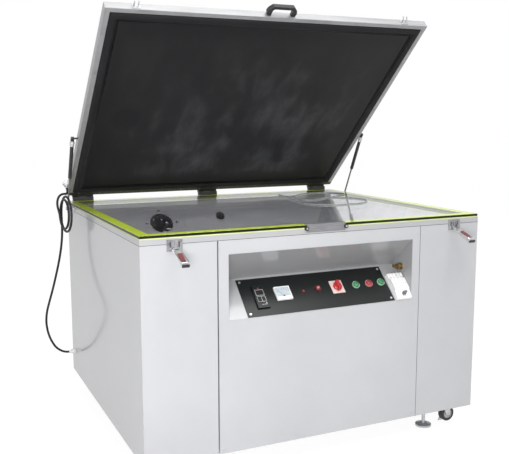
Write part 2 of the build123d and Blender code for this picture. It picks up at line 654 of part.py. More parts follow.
for x, name in ((-latch_x, "left"), (latch_x, "right")):
    arm = lever_at(x)
    with BuildPart() as lever:
        for side in (-1, 1):
            local_slab(arm, sorted((side * flange_x, side * channel_x)), (-5, lever_len - 3), (-5, 4))
        local_slab(arm, (-channel_x, channel_x), (16, lever_len - 3), (2.5, 4))
        local_slab(arm, (-channel_x - 3, channel_x + 3), (lever_len - 3, lever_len), (-3, lip_h))
        turn = Plane(origin=arm.origin, x_dir=arm.y_dir, z_dir=arm.x_dir)
        rod(turn, (0, 0), pin_r + slip, -20, 20, Mode.SUBTRACT)
        rod(turn, (bail_at, 0), bail_r + slip, -20, 20, Mode.SUBTRACT)
        local_slab(arm, (-7.5, 7.5), (40, lever_len - 23), (4 + weld_gap, 8))
    save(lever, f"latch_lever_{name}")
    tip = radians(bail_tilt)
    wire_y = arm.y_dir * cos(tip) + arm.z_dir * sin(tip)
    wire = Plane(origin=arm.from_local_coords((0, bail_at, 0)), x_dir=arm.x_dir,
                 z_dir=arm.z_dir * cos(tip) - arm.y_dir * sin(tip))
    with BuildPart() as bail:
        with BuildLine(wire) as loop:
            FilletPolyline((-bail_x, 0), (-bail_x, bail_len), (bail_x, bail_len), (bail_x, 0), radius=9)
        with BuildSketch(Plane(origin=loop.line @ 0, z_dir=loop.line % 0)):
            Circle(bail_r)
        sweep()
        turn = Plane(origin=wire.origin, x_dir=wire.y_dir, z_dir=wire.x_dir)
        for side in (-1, 1):
            rod(turn, (0, 0), bail_r, side * (flange_x + 0.1), side * (bail_x + bail_r))
    save(bail, f"latch_bail_{name}")

# ---------------------------------------------------------------- lid hinges
hinge_x = (-half_w + 75, 0, half_w - 75)
hinge_half = 47.5
leaf_half = 17.2
hinge_pin_r = 5
lid_back = 21
lid_front = cab_d - 58
rail_w = 60
rail_n = 15
rail_t = 2

bracket_t = 5
with BuildPart() as hinge_brackets:
    for x in hinge_x:
        slab((x - hinge_half, x + hinge_half), (rear, rear + bracket_t), (rim_z - 62, glass_z - 3))
        for side in (-1, 1):
            start = x + side * (leaf_half + hinge_half + 0.3) / 2 - (hinge_half - leaf_half - 0.3) / 2
            face = across(hinge_y, hinge_z, start)
            arm_w = hinge_half - leaf_half - 0.3
            root = bracket_t - hinge_out - 0.5
            prism(face, [(root, -62), (root, -30), (-9, -6), (9, -6)], arm_w)
            rod(face, (0, 0), knuckle_r, 0, arm_w)
        face = across(hinge_y, hinge_z, x)
        rod(face, (0, 0), hinge_pin_r, -hinge_half - 3, hinge_half + 3)
        for dx in (-32, 32):
            for z in (rim_z - 51, rim_z - 31):
                rod(back, (-(x + dx), z), 4.5, bracket_t, bracket_t + 3)
save(hinge_brackets, "hinge_brackets")

with BuildPart() as hinge_leaves:
    for x in hinge_x:
        leaf = Plane(origin=lid.from_local_coords((x, 0, 0)), x_dir=lid.x_dir, z_dir=lid.z_dir)
        face = across(hinge_y, hinge_z, x)
        local_slab(leaf, (-hinge_half, hinge_half), (-lid_back, -lid_back + 3), (-8, rail_n + 3))
        local_slab(leaf, (-hinge_half, hinge_half), (-lid_back - 40, -lid_back + 3), (rail_n, rail_n + 3))
        local_slab(leaf, (-leaf_half, leaf_half), (-lid_back + 1, 0), (-8, 8))
        rod(face, (0, 0), knuckle_r, -leaf_half, leaf_half)
        rod(face, (0, 0), hinge_pin_r + slip, -hinge_half, hinge_half, Mode.SUBTRACT)
save(hinge_leaves, "hinge_leaves")

# ---------------------------------------------------------------- lid
strip_w = 20
strip_t = 3
blanket_x = half_w - strip_w - 0.3
blanket_s = (lid_back + 22.3, lid_front - 18.3)
bead_w = 40
bead_n = hinge_up - 0.3  # the closed bead ends just above the glass
blanket_t = 2
g = weld_gap

with BuildPart() as lid_frame:
    low = lid.offset(-rail_n)
    for s0, s1 in ((lid_front, lid_front - rail_w), (lid_back, lid_back + rail_w)):
        a = half_w - g
        prism(low, [(-a, -s0), (a, -s0), (a - rail_w, -s1), (-a + rail_w, -s1)], 2 * rail_n)
        inner = (-max(s0, s1) + rail_t, -min(s0, s1) - rail_t)
        local_slab(lid, (-half_w + rail_t, half_w - rail_t), inner, (-rail_n + rail_t, rail_n - rail_t),
                   Mode.SUBTRACT)
    for sx in (-1, 1):
        s0, s1 = lid_back + g, lid_front - g
        out, inn = sx * half_w, sx * (half_w - rail_w)
        prism(low, [(out, -s0), (out, -s1), (inn, -s1 + rail_w), (inn, -s0 - rail_w)], 2 * rail_n)
        local_slab(lid, sorted((out - sx * rail_t, inn + sx * rail_t)),
                   (-lid_front + rail_t, -lid_back - rail_t), (-rail_n + rail_t, rail_n - rail_t),
                   Mode.SUBTRACT)
save(lid_frame, "lid_frame")

with BuildPart() as clamp_strips:
    n = (-rail_n - strip_t, -rail_n)
    for s in ((lid_back, blanket_s[0] - 0.3), (blanket_s[1] + 0.3, lid_front)):
        local_slab(lid, (-half_w, half_w), (-s[1], -s[0]), n)
    for sx in (-1, 1):
        x = sorted((sx * (half_w - strip_w), sx * half_w))
        local_slab(lid, x, (-blanket_s[1] - 0.3 + g, -blanket_s[0] + 0.3 - g), n)
    pitch = (cab_w - 100) / 13
    spots = [(-half_w + 50 + k * pitch, s) for k in range(14) for s in (lid_back + 11, lid_front - 9)]
    pitch = (lid_front - lid_back - 117) / 10
    spots += [(sx * (half_w - strip_w / 2), lid_back + 89 + k * pitch) for sx in (-1, 1) for k in range(11)]
    for x, s in spots:
        with BuildSketch(lid.offset(-rail_n - strip_t - 1.5)) as head:
            with Locations((x, -s)):
                RegularPolygon(4.5, 6)
        extrude(head.sketch, amount=1.5)
save(clamp_strips, "clamp_strips")

with BuildPart() as blanket:
    under = -rail_n - blanket_t
    local_slab(lid, (-blanket_x, blanket_x), (-blanket_s[1], -blanket_s[0]), (under, -rail_n))
    bead = (-bead_n, under - g)
    for s0, s1 in ((blanket_s[0], blanket_s[0] + bead_w), (blanket_s[1] - bead_w, blanket_s[1])):
        local_slab(lid, (-blanket_x, blanket_x), (-s1, -s0), bead)
    for sx in (-1, 1):
        x = sorted((sx * (blanket_x - bead_w), sx * blanket_x))
        local_slab(lid, x, (-blanket_s[1] + bead_w + g, -blanket_s[0] - bead_w - g), bead)
save(blanket, "blanket")

handle_x = 65
handle_s = 45
grip_w = 26
with BuildPart() as lid_handle:
    shape = [(-handle_x, 0), (-handle_x, handle_s - 14), (-handle_x + 14, handle_s),
             (handle_x - 14, handle_s), (handle_x, handle_s - 14), (handle_x, 0), (handle_x - 20, 0),
             (handle_x - 20, handle_s - grip_w - 4), (handle_x - 24, handle_s - grip_w),
             (-handle_x + 24, handle_s - grip_w), (-handle_x + 20, handle_s - grip_w - 4),
             (-handle_x + 20, 0)]
    prism(lid.offset(-9.5), [(x, -lid_front - s) for x, s in shape], 19)
    outer = lid_handle.edges().filter_by(Axis.X).group_by(Axis.Z)[-1]
    fillet(outer, 4)
save(lid_handle, "lid_handle")

catch_x = half_w - 116
with BuildPart() as lid_catches:
    for x in (-catch_x, catch_x):
        local_slab(lid, (x - 15, x + 15), (-lid_front - 2.5, -lid_front), (-13, 13))
        for dx in (-8, 8):
            hook = Plane(origin=lid.from_local_coords((x + dx + 2.5, 0, 0)), x_dir=-lid.y_dir,
                         z_dir=-lid.x_dir)
            curl = [(1.5, -1.5), (14, -1.5), (19, 1), (23, 6), (24, 12), (21, 12), (20, 7), (17, 3.5),
                    (13, 1.5), (1.5, 1.5)]
            prism(hook, [(lid_front + s, m) for s, m in curl], 5)
save(lid_catches, "lid_catches")

fit_s = 92
fit_x = -half_w - 13
fit_n = -20
hose_r = 5
nipple_n = -30
with BuildPart() as lid_fitting:
    local_slab(lid, (-half_w - 4, -half_w), (-fit_s - 16, -fit_s + 16), (fit_n + 6, 12))
    local_slab(lid, (fit_x - 9, -half_w - 4), (-fit_s - 9, -fit_s + 9), (fit_n + 4, 8))
    rod(lid, (fit_x, -fit_s), 8, fit_n, fit_n + 6)
    rod(lid, (fit_x, -fit_s), hose_r + 1.5, nipple_n, fit_n)
    cap = Plane(origin=lid.from_local_coords((fit_x - 9, -fit_s, -4)), x_dir=lid.y_dir, z_dir=(-1, 0, 0))
    rod(cap, (0, 0), 7, 0, 6)
    chamfer(lid_fitting.faces().filter_by(Axis.X).sort_by(Axis.X)[0].edges(), 1)
save(lid_fitting, "lid_fitting")

# ---------------------------------------------------------------- lid struts
up_y = hinge_y - strut_s * cos(lid_a)
up_z = hinge_z + strut_s * sin(lid_a)
strut_len = hypot(up_y - strut_low_y, up_z - strut_low_z)
strut_tube = 195
strut_rod = 245
strut_r = 8
strut_rod_r = 4
eye_half = 6
stud_r = 4
reach_in = strut_x - half_w - 0.3
closed_len = hypot(hinge_y - strut_s - strut_low_y, hinge_z - strut_low_z)

with BuildPart() as strut_brackets:
    for sx in (-1, 1):
        y = cab_y + strut_low_y
        slab(sorted((sx * half_w, sx * (half_w + 3))), (y - 24, y + 24), (strut_low_z - 24, strut_low_z + 10))
        stud = Plane(origin=(0, y, strut_low_z), x_dir=(0, 1, 0), z_dir=(sx, 0, 0))
        rod(stud, (0, 0), stud_r, half_w, strut_x + strut_r)
        rod(stud, (0, 0), 7, half_w, strut_x - eye_half - 0.3)
        rod(stud, (0, 0), 7, strut_x + eye_half + 0.3, strut_x + strut_r)
save(strut_brackets, "strut_brackets")

for sx, name in ((-1, "left"), (1, "right")):
    along = Plane(origin=(sx * strut_x, cab_y + strut_low_y, strut_low_z), x_dir=(sx, 0, 0),
                  z_dir=(0, up_y - strut_low_y, up_z - strut_low_z))
    pin = Plane(origin=along.origin, x_dir=along.z_dir, z_dir=(sx, 0, 0))
    with BuildPart() as strut:
        rod(along, (0, 0), strut_rod_r, 4, strut_rod)
        rod(pin, (0, 0), strut_r, -eye_half, eye_half)
        rod(pin, (0, 0), stud_r + slip, -eye_half - 1, eye_half + 1, Mode.SUBTRACT)
    save(strut, f"strut_rod_{name}")
    with BuildPart() as strut:
        rod(along, (0, 0), strut_r, strut_len - strut_tube, strut_len - 4)
        rod(along, (0, 0), strut_rod_r + slip, strut_len - strut_tube - 1, strut_len - 13, Mode.SUBTRACT)
        rod(pin, (strut_len, 0), strut_r, -eye_half, eye_half)
        rod(pin, (strut_len, 0), stud_r, -reach_in, 0)
    save(strut, f"strut_tube_{name}")

# ---------------------------------------------------------------- hoses and cord
nose_x = -half_w - 29
with BuildPart() as hose_fitting:
    port_plane = Plane(origin=(-half_w, cab_y + fitting_y, fitting_z), x_dir=(0, -1, 0), z_dir=(-1, 0, 0))
    with BuildSketch(port_plane) as hexagon:
        RegularPolygon(12, 6)
    extrude(hexagon.sketch, amount=7)
    rod(port_plane, (0, 0), 10, 7, 18)
    rod(port_plane, (0, 0), 7.5, 18, -half_w - nose_x)
    rod(port_plane, (0, 0), fitting_r, -16, 0)
    rod(port_plane, (0, 0), 10, -10, -sheet_t - weld_gap)
save(hose_fitting, "hose_fitting")


def smooth(points, step):
    """Points at even spacing on a smooth curve through the given ones."""
    curve = Spline(*points)
    n = max(2, round(curve.length / step))
    return [curve @ (k / n) for k in range(n + 1)]


def bends(points):
    """Bend radius at each inner corner."""
    radii = []
    for a, b, c in zip(points, points[1:], points[2:]):
        u = b - a
        v = c - b
        half_turn = max(radians(u.get_angle(v)) / 2, 0.002)
        radii.append(0.45 * min(u.length, v.length) / tan(half_turn))
    return radii


def length_of(line):
    return sum(edge.length for edge in line.edges())


def report_tube(name, part, length, radius, radii):
    area = pi * radius**2
    print(f"{name}: length {length:.0f}, least bend {min(radii):.0f}, "
          f"volume ratio {part.volume / (area * length):.4f}")


coil_c = Vector(-half_w - 48, cab_y + 359.5, rim_z - 22)
coil_w = 71
coil_h = 84.5
coil_turns = 2
coil_shrink = 0.16  # share of the size lost in each turn
coil_pitch = 8
rear_way = Vector(-0.16, 0.987, 0).normalized()
out_way = Vector(-0.987, -0.16, 0).normalized()
up_way = Vector(0, 0, 1)


def coil_point(turn):
    """Point on the coil after a number of turns, which start at the rear going up."""
    size = 1 - coil_shrink * turn
    a = 2 * pi * turn
    return (coil_c + rear_way * (coil_w * size * cos(a)) + up_way * (coil_h * size * sin(a))
            + out_way * (coil_pitch * turn))


def coil_tangent(turn):
    step = 0.001
    return (coil_point(turn + step) - coil_point(turn - step)).normalized()


run_points = [(29, fitting_y, fitting_z), (74, 537, 191), (106, 531, 238), (133, 485, 318), (138, 465, 376),
              (116, 470, 456), (83, 470, 574), (63, 440, 700)]  # first value: outside the left panel
coil_start = coil_point(0)
straight = 20  # each end of a hose leaves square to what it meets
run_end = coil_start - coil_tangent(0) * straight
route_points = [Vector(-half_w - out, cab_y + y, z) for out, y, z in run_points]
nozzle = route_points[0]
route_points[0] = nozzle + Vector(-straight, 0, 0)
route_points = smooth(route_points + [run_end], 45)
route_points = [nozzle] + route_points + [coil_start]
run_radii = bends(route_points)
with BuildPart() as hose_run:
    with BuildLine() as run_line:
        FilletPolyline(*route_points, radius=run_radii)
    with BuildSketch(Plane(origin=run_line.line @ 0, z_dir=run_line.line % 0)):
        Circle(hose_r)
    sweep()
save(hose_run, "hose_run")
report_tube("hose_run", hose_run.part, length_of(run_line), hose_r, run_radii)

nipple = lid.from_local_coords((fit_x, -fit_s, nipple_n - 0.1))
knots = [(coil_point(k / 4), coil_tangent(k / 4)) for k in range(4 * coil_turns + 1)]
knots += [(Vector(-half_w - 88, cab_y + 414, 902), Vector(-0.05, 0.25, 0.97).normalized()),
          (Vector(-half_w - 57, cab_y + 462, 938), Vector(0.6, 0.78, 0.12).normalized()),
          (nipple, lid.z_dir)]


def biarc(p0, t0, p1, t1):
    """Middle point of two arcs that join two points with given directions."""
    v = p1 - p0
    t = t0 + t1
    k = 2 * (1 - t0.dot(t1))
    d = (sqrt(v.dot(t) ** 2 + k * v.dot(v)) - v.dot(t)) / k
    return (p0 + t0 * d + p1 - t1 * d) / 2


with BuildPart() as hose_coil:
    with BuildLine() as coil_line:
        for (p0, t0), (p1, t1) in zip(knots, knots[1:]):
            middle = biarc(p0, t0, p1, t1)
            arc = TangentArc(p0, middle, tangent=t0)
            TangentArc(middle, p1, tangent=arc % 1)
    with BuildSketch(Plane(origin=coil_start, z_dir=coil_tangent(0))):
        Circle(hose_r)
    sweep(path=coil_line.wires()[0], transition=Transition.ROUND)
save(hose_coil, "hose_coil")
coil_radii = [e.radius for e in coil_line.edges() if e.geom_type == GeomType.CIRCLE]
report_tube("hose_coil", hose_coil.part, length_of(coil_line), hose_r, coil_radii)

samples = [coil_line.wires()[0] @ (k / 400) for k in range(401)]
step = length_of(coil_line) / 400
apart = int(60 / step)  # samples nearer than this along the hose aren't a pair
least = min((a - b).length for i, a in enumerate(samples) for b in samples[i + apart:])
print(f"hose_coil: least gap to itself {least - 2 * hose_r:.2f}")

cord_r = 2.5
cord_z = glass_z + 0.3 + cord_r
cord_xy = [(303, 406), (286, 296), (249, 139), (236, 39), (245, -50), (284, -94), (340, -108), (411, -99),
           (469, -86), (538, -32), (563, 32), (553, 101), (530, 148), (475, 175), (384, 138), (323, 105),
           (290, 130), (291, 200), (320, 280), (372, 340), (438, 396), (530, 405), (612, 360), (618, 293),
           (578, 257), (496, 211)]
cord_points = smooth([Vector(x, cab_y + y, cord_z) for x, y in cord_xy], 42)
cord_radii = bends(cord_points)
with BuildPart() as bleed_cord:
    with BuildLine() as cord_line:
        FilletPolyline(*cord_points, radius=cord_radii)
    with BuildSketch(Plane(origin=cord_line.line @ 0, z_dir=cord_line.line % 0)):
        Circle(cord_r)
    sweep()
save(bleed_cord, "bleed_cord")
report_tube("bleed_cord", bleed_cord.part, length_of(cord_line), cord_r, cord_radii)
print(f"cab_y {cab_y:.3f}, strut length open {strut_len:.2f}, closed {closed_len:.2f}, "
      f"shelf angle {degrees(shelf_a):.2f}, shelf length {shelf_len:.1f}")
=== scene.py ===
import math

import bmesh
import bpy
from mathutils import Matrix, Vector, noise


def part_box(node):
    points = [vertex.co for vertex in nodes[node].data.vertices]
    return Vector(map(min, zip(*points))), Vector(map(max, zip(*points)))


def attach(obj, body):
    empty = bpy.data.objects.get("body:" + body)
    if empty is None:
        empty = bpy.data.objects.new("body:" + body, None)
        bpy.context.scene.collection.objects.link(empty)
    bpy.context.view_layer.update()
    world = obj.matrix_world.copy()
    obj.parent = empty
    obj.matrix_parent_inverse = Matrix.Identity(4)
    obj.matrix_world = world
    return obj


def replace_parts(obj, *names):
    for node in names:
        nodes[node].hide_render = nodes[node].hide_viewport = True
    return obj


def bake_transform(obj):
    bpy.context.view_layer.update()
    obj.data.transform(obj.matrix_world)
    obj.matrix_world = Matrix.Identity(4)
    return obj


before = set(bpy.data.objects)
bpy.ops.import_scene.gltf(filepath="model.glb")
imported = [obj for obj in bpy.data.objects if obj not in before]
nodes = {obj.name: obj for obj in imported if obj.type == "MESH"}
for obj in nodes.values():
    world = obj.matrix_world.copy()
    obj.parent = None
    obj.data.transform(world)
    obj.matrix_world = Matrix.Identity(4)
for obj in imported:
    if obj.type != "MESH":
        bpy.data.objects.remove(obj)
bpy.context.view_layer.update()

CAB_Y = 0.039843  # middle of the cabinet, along y
HALF_W = 0.7
HALF_D = 0.588
FRONT = CAB_Y - HALF_D
REAR = CAB_Y + HALF_D
GLASS_Z = 0.883  # upper face of the glass
OPEN = math.radians(42.6)  # angle of the lid at rest
HINGE = Vector((0, CAB_Y + 0.612, 0.907))  # point on the axis of the hinges
SHELF_LOW, SHELF_HIGH = 0.563, 0.682  # height of the control shelf at its front and back edges
SHELF_BACK = 0.461  # back edge of the shelf, from the middle of the cabinet
SHELF_A = math.atan2(SHELF_HIGH - SHELF_LOW, HALF_D - SHELF_BACK)


def lid_point(x, s, n):
    """Point of the lid at rest: s from the hinge axis, n off its middle plane."""
    return HINGE + Vector((x, -s * math.cos(OPEN) + n * math.sin(OPEN),
                           s * math.sin(OPEN) + n * math.cos(OPEN)))


def shelf_point(x, s, n):
    """Point of the control shelf: s up its slope, n off its face."""
    c, k = math.cos(SHELF_A), math.sin(SHELF_A)
    return Vector((x, FRONT + s * c - n * k, SHELF_LOW + s * k + n * c))


# ------------------------------------------------------------------ materials
def material(name):
    """New material with its node tree and its shader."""
    m = bpy.data.materials.new(name)
    m.use_nodes = True
    t = m.node_tree
    return m, t, t.nodes["Principled BSDF"]


def add(tree, kind, **values):
    """New node with these settings and input values."""
    n = tree.nodes.new(kind)
    for k, v in values.items():
        if hasattr(n, k) and k not in n.inputs:
            setattr(n, k, v)
        else:
            n.inputs[k.replace("_", " ") if k not in n.inputs else k].default_value = v
    return n


def position(tree):
    """Coordinates that stay with the piece."""
    return tree.nodes.new("ShaderNodeTexCoord").outputs["Object"]


def combined(tree, operation, first, second):
    """Result of a math node on a socket and another socket or a number."""
    node = add(tree, "ShaderNodeMath", operation=operation)
    tree.links.new(first, node.inputs[0])
    if isinstance(second, float):
        node.inputs[1].default_value = second
    else:
        tree.links.new(second, node.inputs[1])
    return node.outputs["Value"]


def ranged(tree, value, low, high, near=0.0, far=1.0, interpolation="LINEAR"):
    """Value that goes from low where the socket reads near to high where it reads far."""
    node = add(tree, "ShaderNodeMapRange", interpolation_type=interpolation)
    for name, number in (("From Min", near), ("From Max", far), ("To Min", low), ("To Max", high)):
        node.inputs[name].default_value = number
    tree.links.new(value, node.inputs["Value"])
    return node.outputs["Result"]


def clouds(tree, where, **values):
    """Soft noise at these coordinates."""
    node = add(tree, "ShaderNodeTexNoise", **values)
    tree.links.new(where, node.inputs["Vector"])
    return node.outputs["Fac"]


def seen(tree):
    """1 where the camera, a reflection or a clear sheet looks at the surface, 0 where light does."""
    rays = add(tree, "ShaderNodeLightPath")
    total = rays.outputs["Is Camera Ray"]
    for other in ("Is Glossy Ray", "Is Transmission Ray"):
        total = combined(tree, "MAXIMUM", total, rays.outputs[other])
    return total


def surface(name, low, high, scale=6.0, rough=(0.35, 0.5), metal=0.0, bump=0.05, grain=400.0,
            stretch=None, coat=0.0, coat_rough=0.03, spec=0.5, edge=0.0):
    """Surface with two tones in soft noise, roughness that follows it, and fine grain in the normal."""
    m, t, p = material(name)
    where = position(t)
    if stretch:
        mapping = add(t, "ShaderNodeMapping")
        mapping.inputs["Scale"].default_value = stretch
        t.links.new(where, mapping.inputs["Vector"])
        where = mapping.outputs["Vector"]
    cloud = clouds(t, where, Scale=scale, Detail=6.0, Roughness=0.6)
    ramp = add(t, "ShaderNodeValToRGB")
    ramp.color_ramp.elements[0].position = 0.3
    ramp.color_ramp.elements[1].position = 0.7
    ramp.color_ramp.elements[0].color = (*low, 1)
    ramp.color_ramp.elements[1].color = (*high, 1)
    t.links.new(cloud, ramp.inputs["Fac"])
    t.links.new(ramp.outputs["Color"], p.inputs["Base Color"])
    t.links.new(ranged(t, cloud, *rough), p.inputs["Roughness"])
    relief = add(t, "ShaderNodeBump", Strength=bump, Distance=0.001)
    t.links.new(clouds(t, where, Scale=grain, Detail=3.0), relief.inputs["Height"])
    if edge:
        round_edge = add(t, "ShaderNodeBevel", samples=4)
        round_edge.inputs["Radius"].default_value = edge
        t.links.new(round_edge.outputs["Normal"], relief.inputs["Normal"])
    t.links.new(relief.outputs["Normal"], p.inputs["Normal"])
    p.inputs["Metallic"].default_value = metal
    p.inputs["Coat Weight"].default_value = coat
    p.inputs["Coat Roughness"].default_value = coat_rough
    p.inputs["Specular IOR Level"].default_value = spec
    return m


def glass(name, tint):
    """Clear sheet: light passes straight through and the surface reflects more at a flat angle."""
    m, t, p = material(name)
    t.nodes.remove(p)
    out = t.nodes["Material Output"]
    clear = add(t, "ShaderNodeBsdfTransparent")
    clear.inputs["Color"].default_value = (*tint, 1)
    gloss = add(t, "ShaderNodeBsdfGlossy")
    gloss.inputs["Color"].default_value = (0.93, 0.93, 0.95, 1)
    smear = clouds(t, position(t), Scale=9.0, Detail=4.0)
    t.links.new(ranged(t, smear, 0.01, 0.06), gloss.inputs["Roughness"])
    angle = add(t, "ShaderNodeLayerWeight")
    flat_view = combined(t, "POWER", angle.outputs["Facing"], 5.0)
    mix = add(t, "ShaderNodeMixShader")
    t.links.new(ranged(t, flat_view, 0.04, 0.75), mix.inputs["Fac"])
    t.links.new(clear.outputs["BSDF"], mix.inputs[1])
    t.links.new(gloss.outputs["BSDF"], mix.inputs[2])
    t.links.new(mix.outputs["Shader"], out.inputs["Surface"])
    return m


def rubber_sheet():
    """Dark rubber with pale dusty clouds, made lighter low in the middle by painted sheen, and a round mark.
    """
    m, t, p = material("blanket_rubber")
    where = position(t)

    def vector_node(operation, first, second):
        """Vector math node on a socket and a constant vector."""
        node = add(t, "ShaderNodeVectorMath", operation=operation)
        node.inputs[1].default_value = second
        t.links.new(first, node.inputs[0])
        return node

    def fade(centre, near, far, low, high):
        """Value that goes from low at the distance near from a point to high at the distance far."""
        away = vector_node("DISTANCE", where, centre)
        return ranged(t, away.outputs["Value"], low, high, near, far, "SMOOTHSTEP")

    dust_and_sheen = clouds(t, where, Scale=2.3, Detail=4.0, Roughness=0.5, Distortion=0.15)
    mapping = add(t, "ShaderNodeMapping")
    mapping.inputs["Rotation"].default_value = (0.0, 0.12, 0.2)
    mapping.inputs["Scale"].default_value = (1.7, 0.75, 0.75)
    t.links.new(where, mapping.inputs["Vector"])
    smear = clouds(t, mapping.outputs["Vector"], Scale=6.5, Detail=6.0, Roughness=0.55, Distortion=0.2)
    off_hinge = vector_node("SUBTRACT", where, HINGE)

    def inside(direction, near, far):
        """1 while the distance along a direction is under near, falling to about a third at far."""
        along = vector_node("DOT_PRODUCT", off_hinge.outputs["Vector"], direction)
        return ranged(t, along.outputs["Value"], 1.0, 0.38, near, far, "SMOOTHSTEP")

    up_lid = Vector((0, -math.cos(OPEN), math.sin(OPEN)))
    middle, mark = lid_point(0.12, 0.22, 0), lid_point(-0.52, 0.536, -0.016)
    # the fade round middle is painted sheen, lightest low in the middle; the fade round mark draws the round
    # mark
    for factor in (inside((1, 0, 0), 0.56, 0.655), inside((-1, 0, 0), 0.56, 0.655),
                   inside(up_lid, 0.96, 1.06), inside(-up_lid, -0.18, -0.083), smear,
                   fade(middle, 0.05, 0.95, 1.55, 0.68), fade(mark, 0.052, 0.074, 0.5, 1.0)):
        dust_and_sheen = combined(t, "MULTIPLY", dust_and_sheen, factor)
    ramp = add(t, "ShaderNodeValToRGB")
    e = ramp.color_ramp.elements
    e[0].position, e[0].color = 0.10, (0.008, 0.008, 0.009, 1)
    e[1].position, e[1].color = 0.52, (0.056, 0.056, 0.059, 1)
    mid = e.new(0.26)
    mid.color = (0.015, 0.015, 0.016, 1)
    t.links.new(dust_and_sheen, ramp.inputs["Fac"])
    t.links.new(ramp.outputs["Color"], p.inputs["Base Color"])
    t.links.new(ranged(t, dust_and_sheen, 0.55, 0.85), p.inputs["Roughness"])
    relief = add(t, "ShaderNodeBump", Strength=0.12, Distance=0.0008)
    t.links.new(clouds(t, where, Scale=700.0, Detail=2.0), relief.inputs["Height"])
    t.links.new(relief.outputs["Normal"], p.inputs["Normal"])
    p.inputs["Specular IOR Level"].default_value = 0.25
    return m


PAINT = surface("cabinet_paint", (0.42, 0.425, 0.44), (0.47, 0.475, 0.49), 2.2, (0.3, 0.42), bump=0.04,
                grain=900, edge=0.0012, coat=0.6, coat_rough=0.1)
# painted shade: a darker copy of the cabinet paint, on the rim and on the control shelf
RIM_SHADE = surface("rim_painted_shade", (0.35, 0.355, 0.365), (0.40, 0.405, 0.415), 2.6, (0.3, 0.42), bump=0.04,
              grain=900, edge=0.0012, coat=0.5, coat_rough=0.12)
# painted shade: a darker copy of the cabinet paint for the cheeks and roof of the control recess
RECESS_SHADE = surface("recess_painted_shade", (0.27, 0.272, 0.278), (0.31, 0.312, 0.318), 3, (0.25, 0.35), bump=0.04,
                 grain=900, coat=0.9, coat_rough=0.08)
SHADE = surface("frame_paint", (0.45, 0.46, 0.47), (0.52, 0.53, 0.54), 5, (0.5, 0.65), bump=0.05)
RAIL = surface("lid_aluminium", (0.34, 0.345, 0.35), (0.44, 0.445, 0.45), 3, (0.3, 0.45), 0.3, 0.05, 900,
               (1, 12, 12), edge=0.001)
STRIP = surface("strip_aluminium", (0.26, 0.26, 0.27), (0.36, 0.36, 0.37), 8, (0.35, 0.5), 0.3, 0.08, 700)
# black finish with painted shade: the hinge parts sit in the lid's shade, and the hinge side of the lid's
# underside is painted with it too
BLACK_AND_SHADE = surface("hinge_black_and_shade", (0.018, 0.018, 0.019), (0.045, 0.045, 0.047), 40, (0.35, 0.5), 0.3, 0.08, 500,
               edge=0.0008)
ZINC = surface("zinc", (0.42, 0.43, 0.44), (0.66, 0.67, 0.68), 60, (0.22, 0.42), 0.85, 0.1, 500, edge=0.0006)
LATCH = surface("latch_zinc", (0.20, 0.20, 0.21), (0.42, 0.42, 0.43), 90, (0.25, 0.45), 0.8, 0.15, 500,
                edge=0.0006)
STEEL = surface("steel", (0.40, 0.41, 0.43), (0.55, 0.56, 0.58), 25, (0.3, 0.45), 0.7, 0.08, 700,
                (1, 1, 20), edge=0.0006)
ROD = surface("rod_steel", (0.16, 0.16, 0.17), (0.26, 0.26, 0.27), 40, (0.2, 0.3), 0.6, 0.03, 400)
CHROME = surface("chrome", (0.68, 0.69, 0.70), (0.8, 0.8, 0.8), 40, (0.08, 0.18), 1.0, 0.02, 300)
BLACK = surface("black_plastic", (0.010, 0.010, 0.011), (0.018, 0.018, 0.019), 30, (0.35, 0.5), bump=0.08,
                grain=1200, edge=0.0005)
PANEL = surface("panel_black", (0.003, 0.0042, 0.0042), (0.006, 0.0085, 0.0085), 12, (0.25, 0.35), bump=0.03,
                grain=1500, spec=0.35, edge=0.0004)
WHITE = surface("white_plastic", (0.78, 0.78, 0.78), (0.88, 0.88, 0.88), 20, (0.25, 0.35), bump=0.03,
                edge=0.0008)
GREY = surface("grey_plastic", (0.10, 0.10, 0.11), (0.16, 0.16, 0.17), 30, (0.3, 0.45), bump=0.05)
STRUT = surface("strut_paint", (0.012, 0.012, 0.013), (0.022, 0.022, 0.023), 40, (0.3, 0.45), bump=0.04)
RED = surface("red_plastic", (0.36, 0.012, 0.016), (0.48, 0.025, 0.025), 60, (0.2, 0.32), bump=0.03, coat=0.3)
DARK_RED = surface("dark_red_plastic", (0.09, 0.010, 0.012), (0.15, 0.016, 0.018), 80, (0.2, 0.3), bump=0.05,
                   coat=0.5)
# pale red for the small lamp of the timer, and for the painted highlight in the middle of the big pilot lamp
PALE_RED_AND_HIGHLIGHT = surface("pale_red_and_highlight", (0.45, 0.10, 0.11), (0.58, 0.16, 0.17), 80, (0.1, 0.2), bump=0.05, coat=0.5)
GRIP = surface("grip_red", (0.11, 0.02, 0.022), (0.21, 0.04, 0.042), 120, (0.4, 0.6), bump=0.15)
GREEN = surface("green_plastic", (0.03, 0.16, 0.07), (0.06, 0.24, 0.11), 60, (0.15, 0.25), bump=0.03,
                coat=0.5)
GREEN_RING = surface("green_ring", (0.20, 0.42, 0.25), (0.30, 0.55, 0.35), 60, (0.2, 0.3), bump=0.03,
                     coat=0.3)
RED_RING = surface("red_ring", (0.42, 0.16, 0.17), (0.55, 0.25, 0.26), 60, (0.2, 0.3), bump=0.03, coat=0.3)
CAP_RED = surface("cap_red", (0.20, 0.03, 0.035), (0.32, 0.06, 0.065), 60, (0.15, 0.25), bump=0.03, coat=0.5)
PINK = surface("plate_white", (0.66, 0.50, 0.48), (0.78, 0.64, 0.62), 40, (0.3, 0.4), bump=0.03)
DIAL = surface("dial_face", (0.46, 0.52, 0.56), (0.58, 0.63, 0.67), 50, (0.08, 0.14), bump=0.02, coat=0.6)
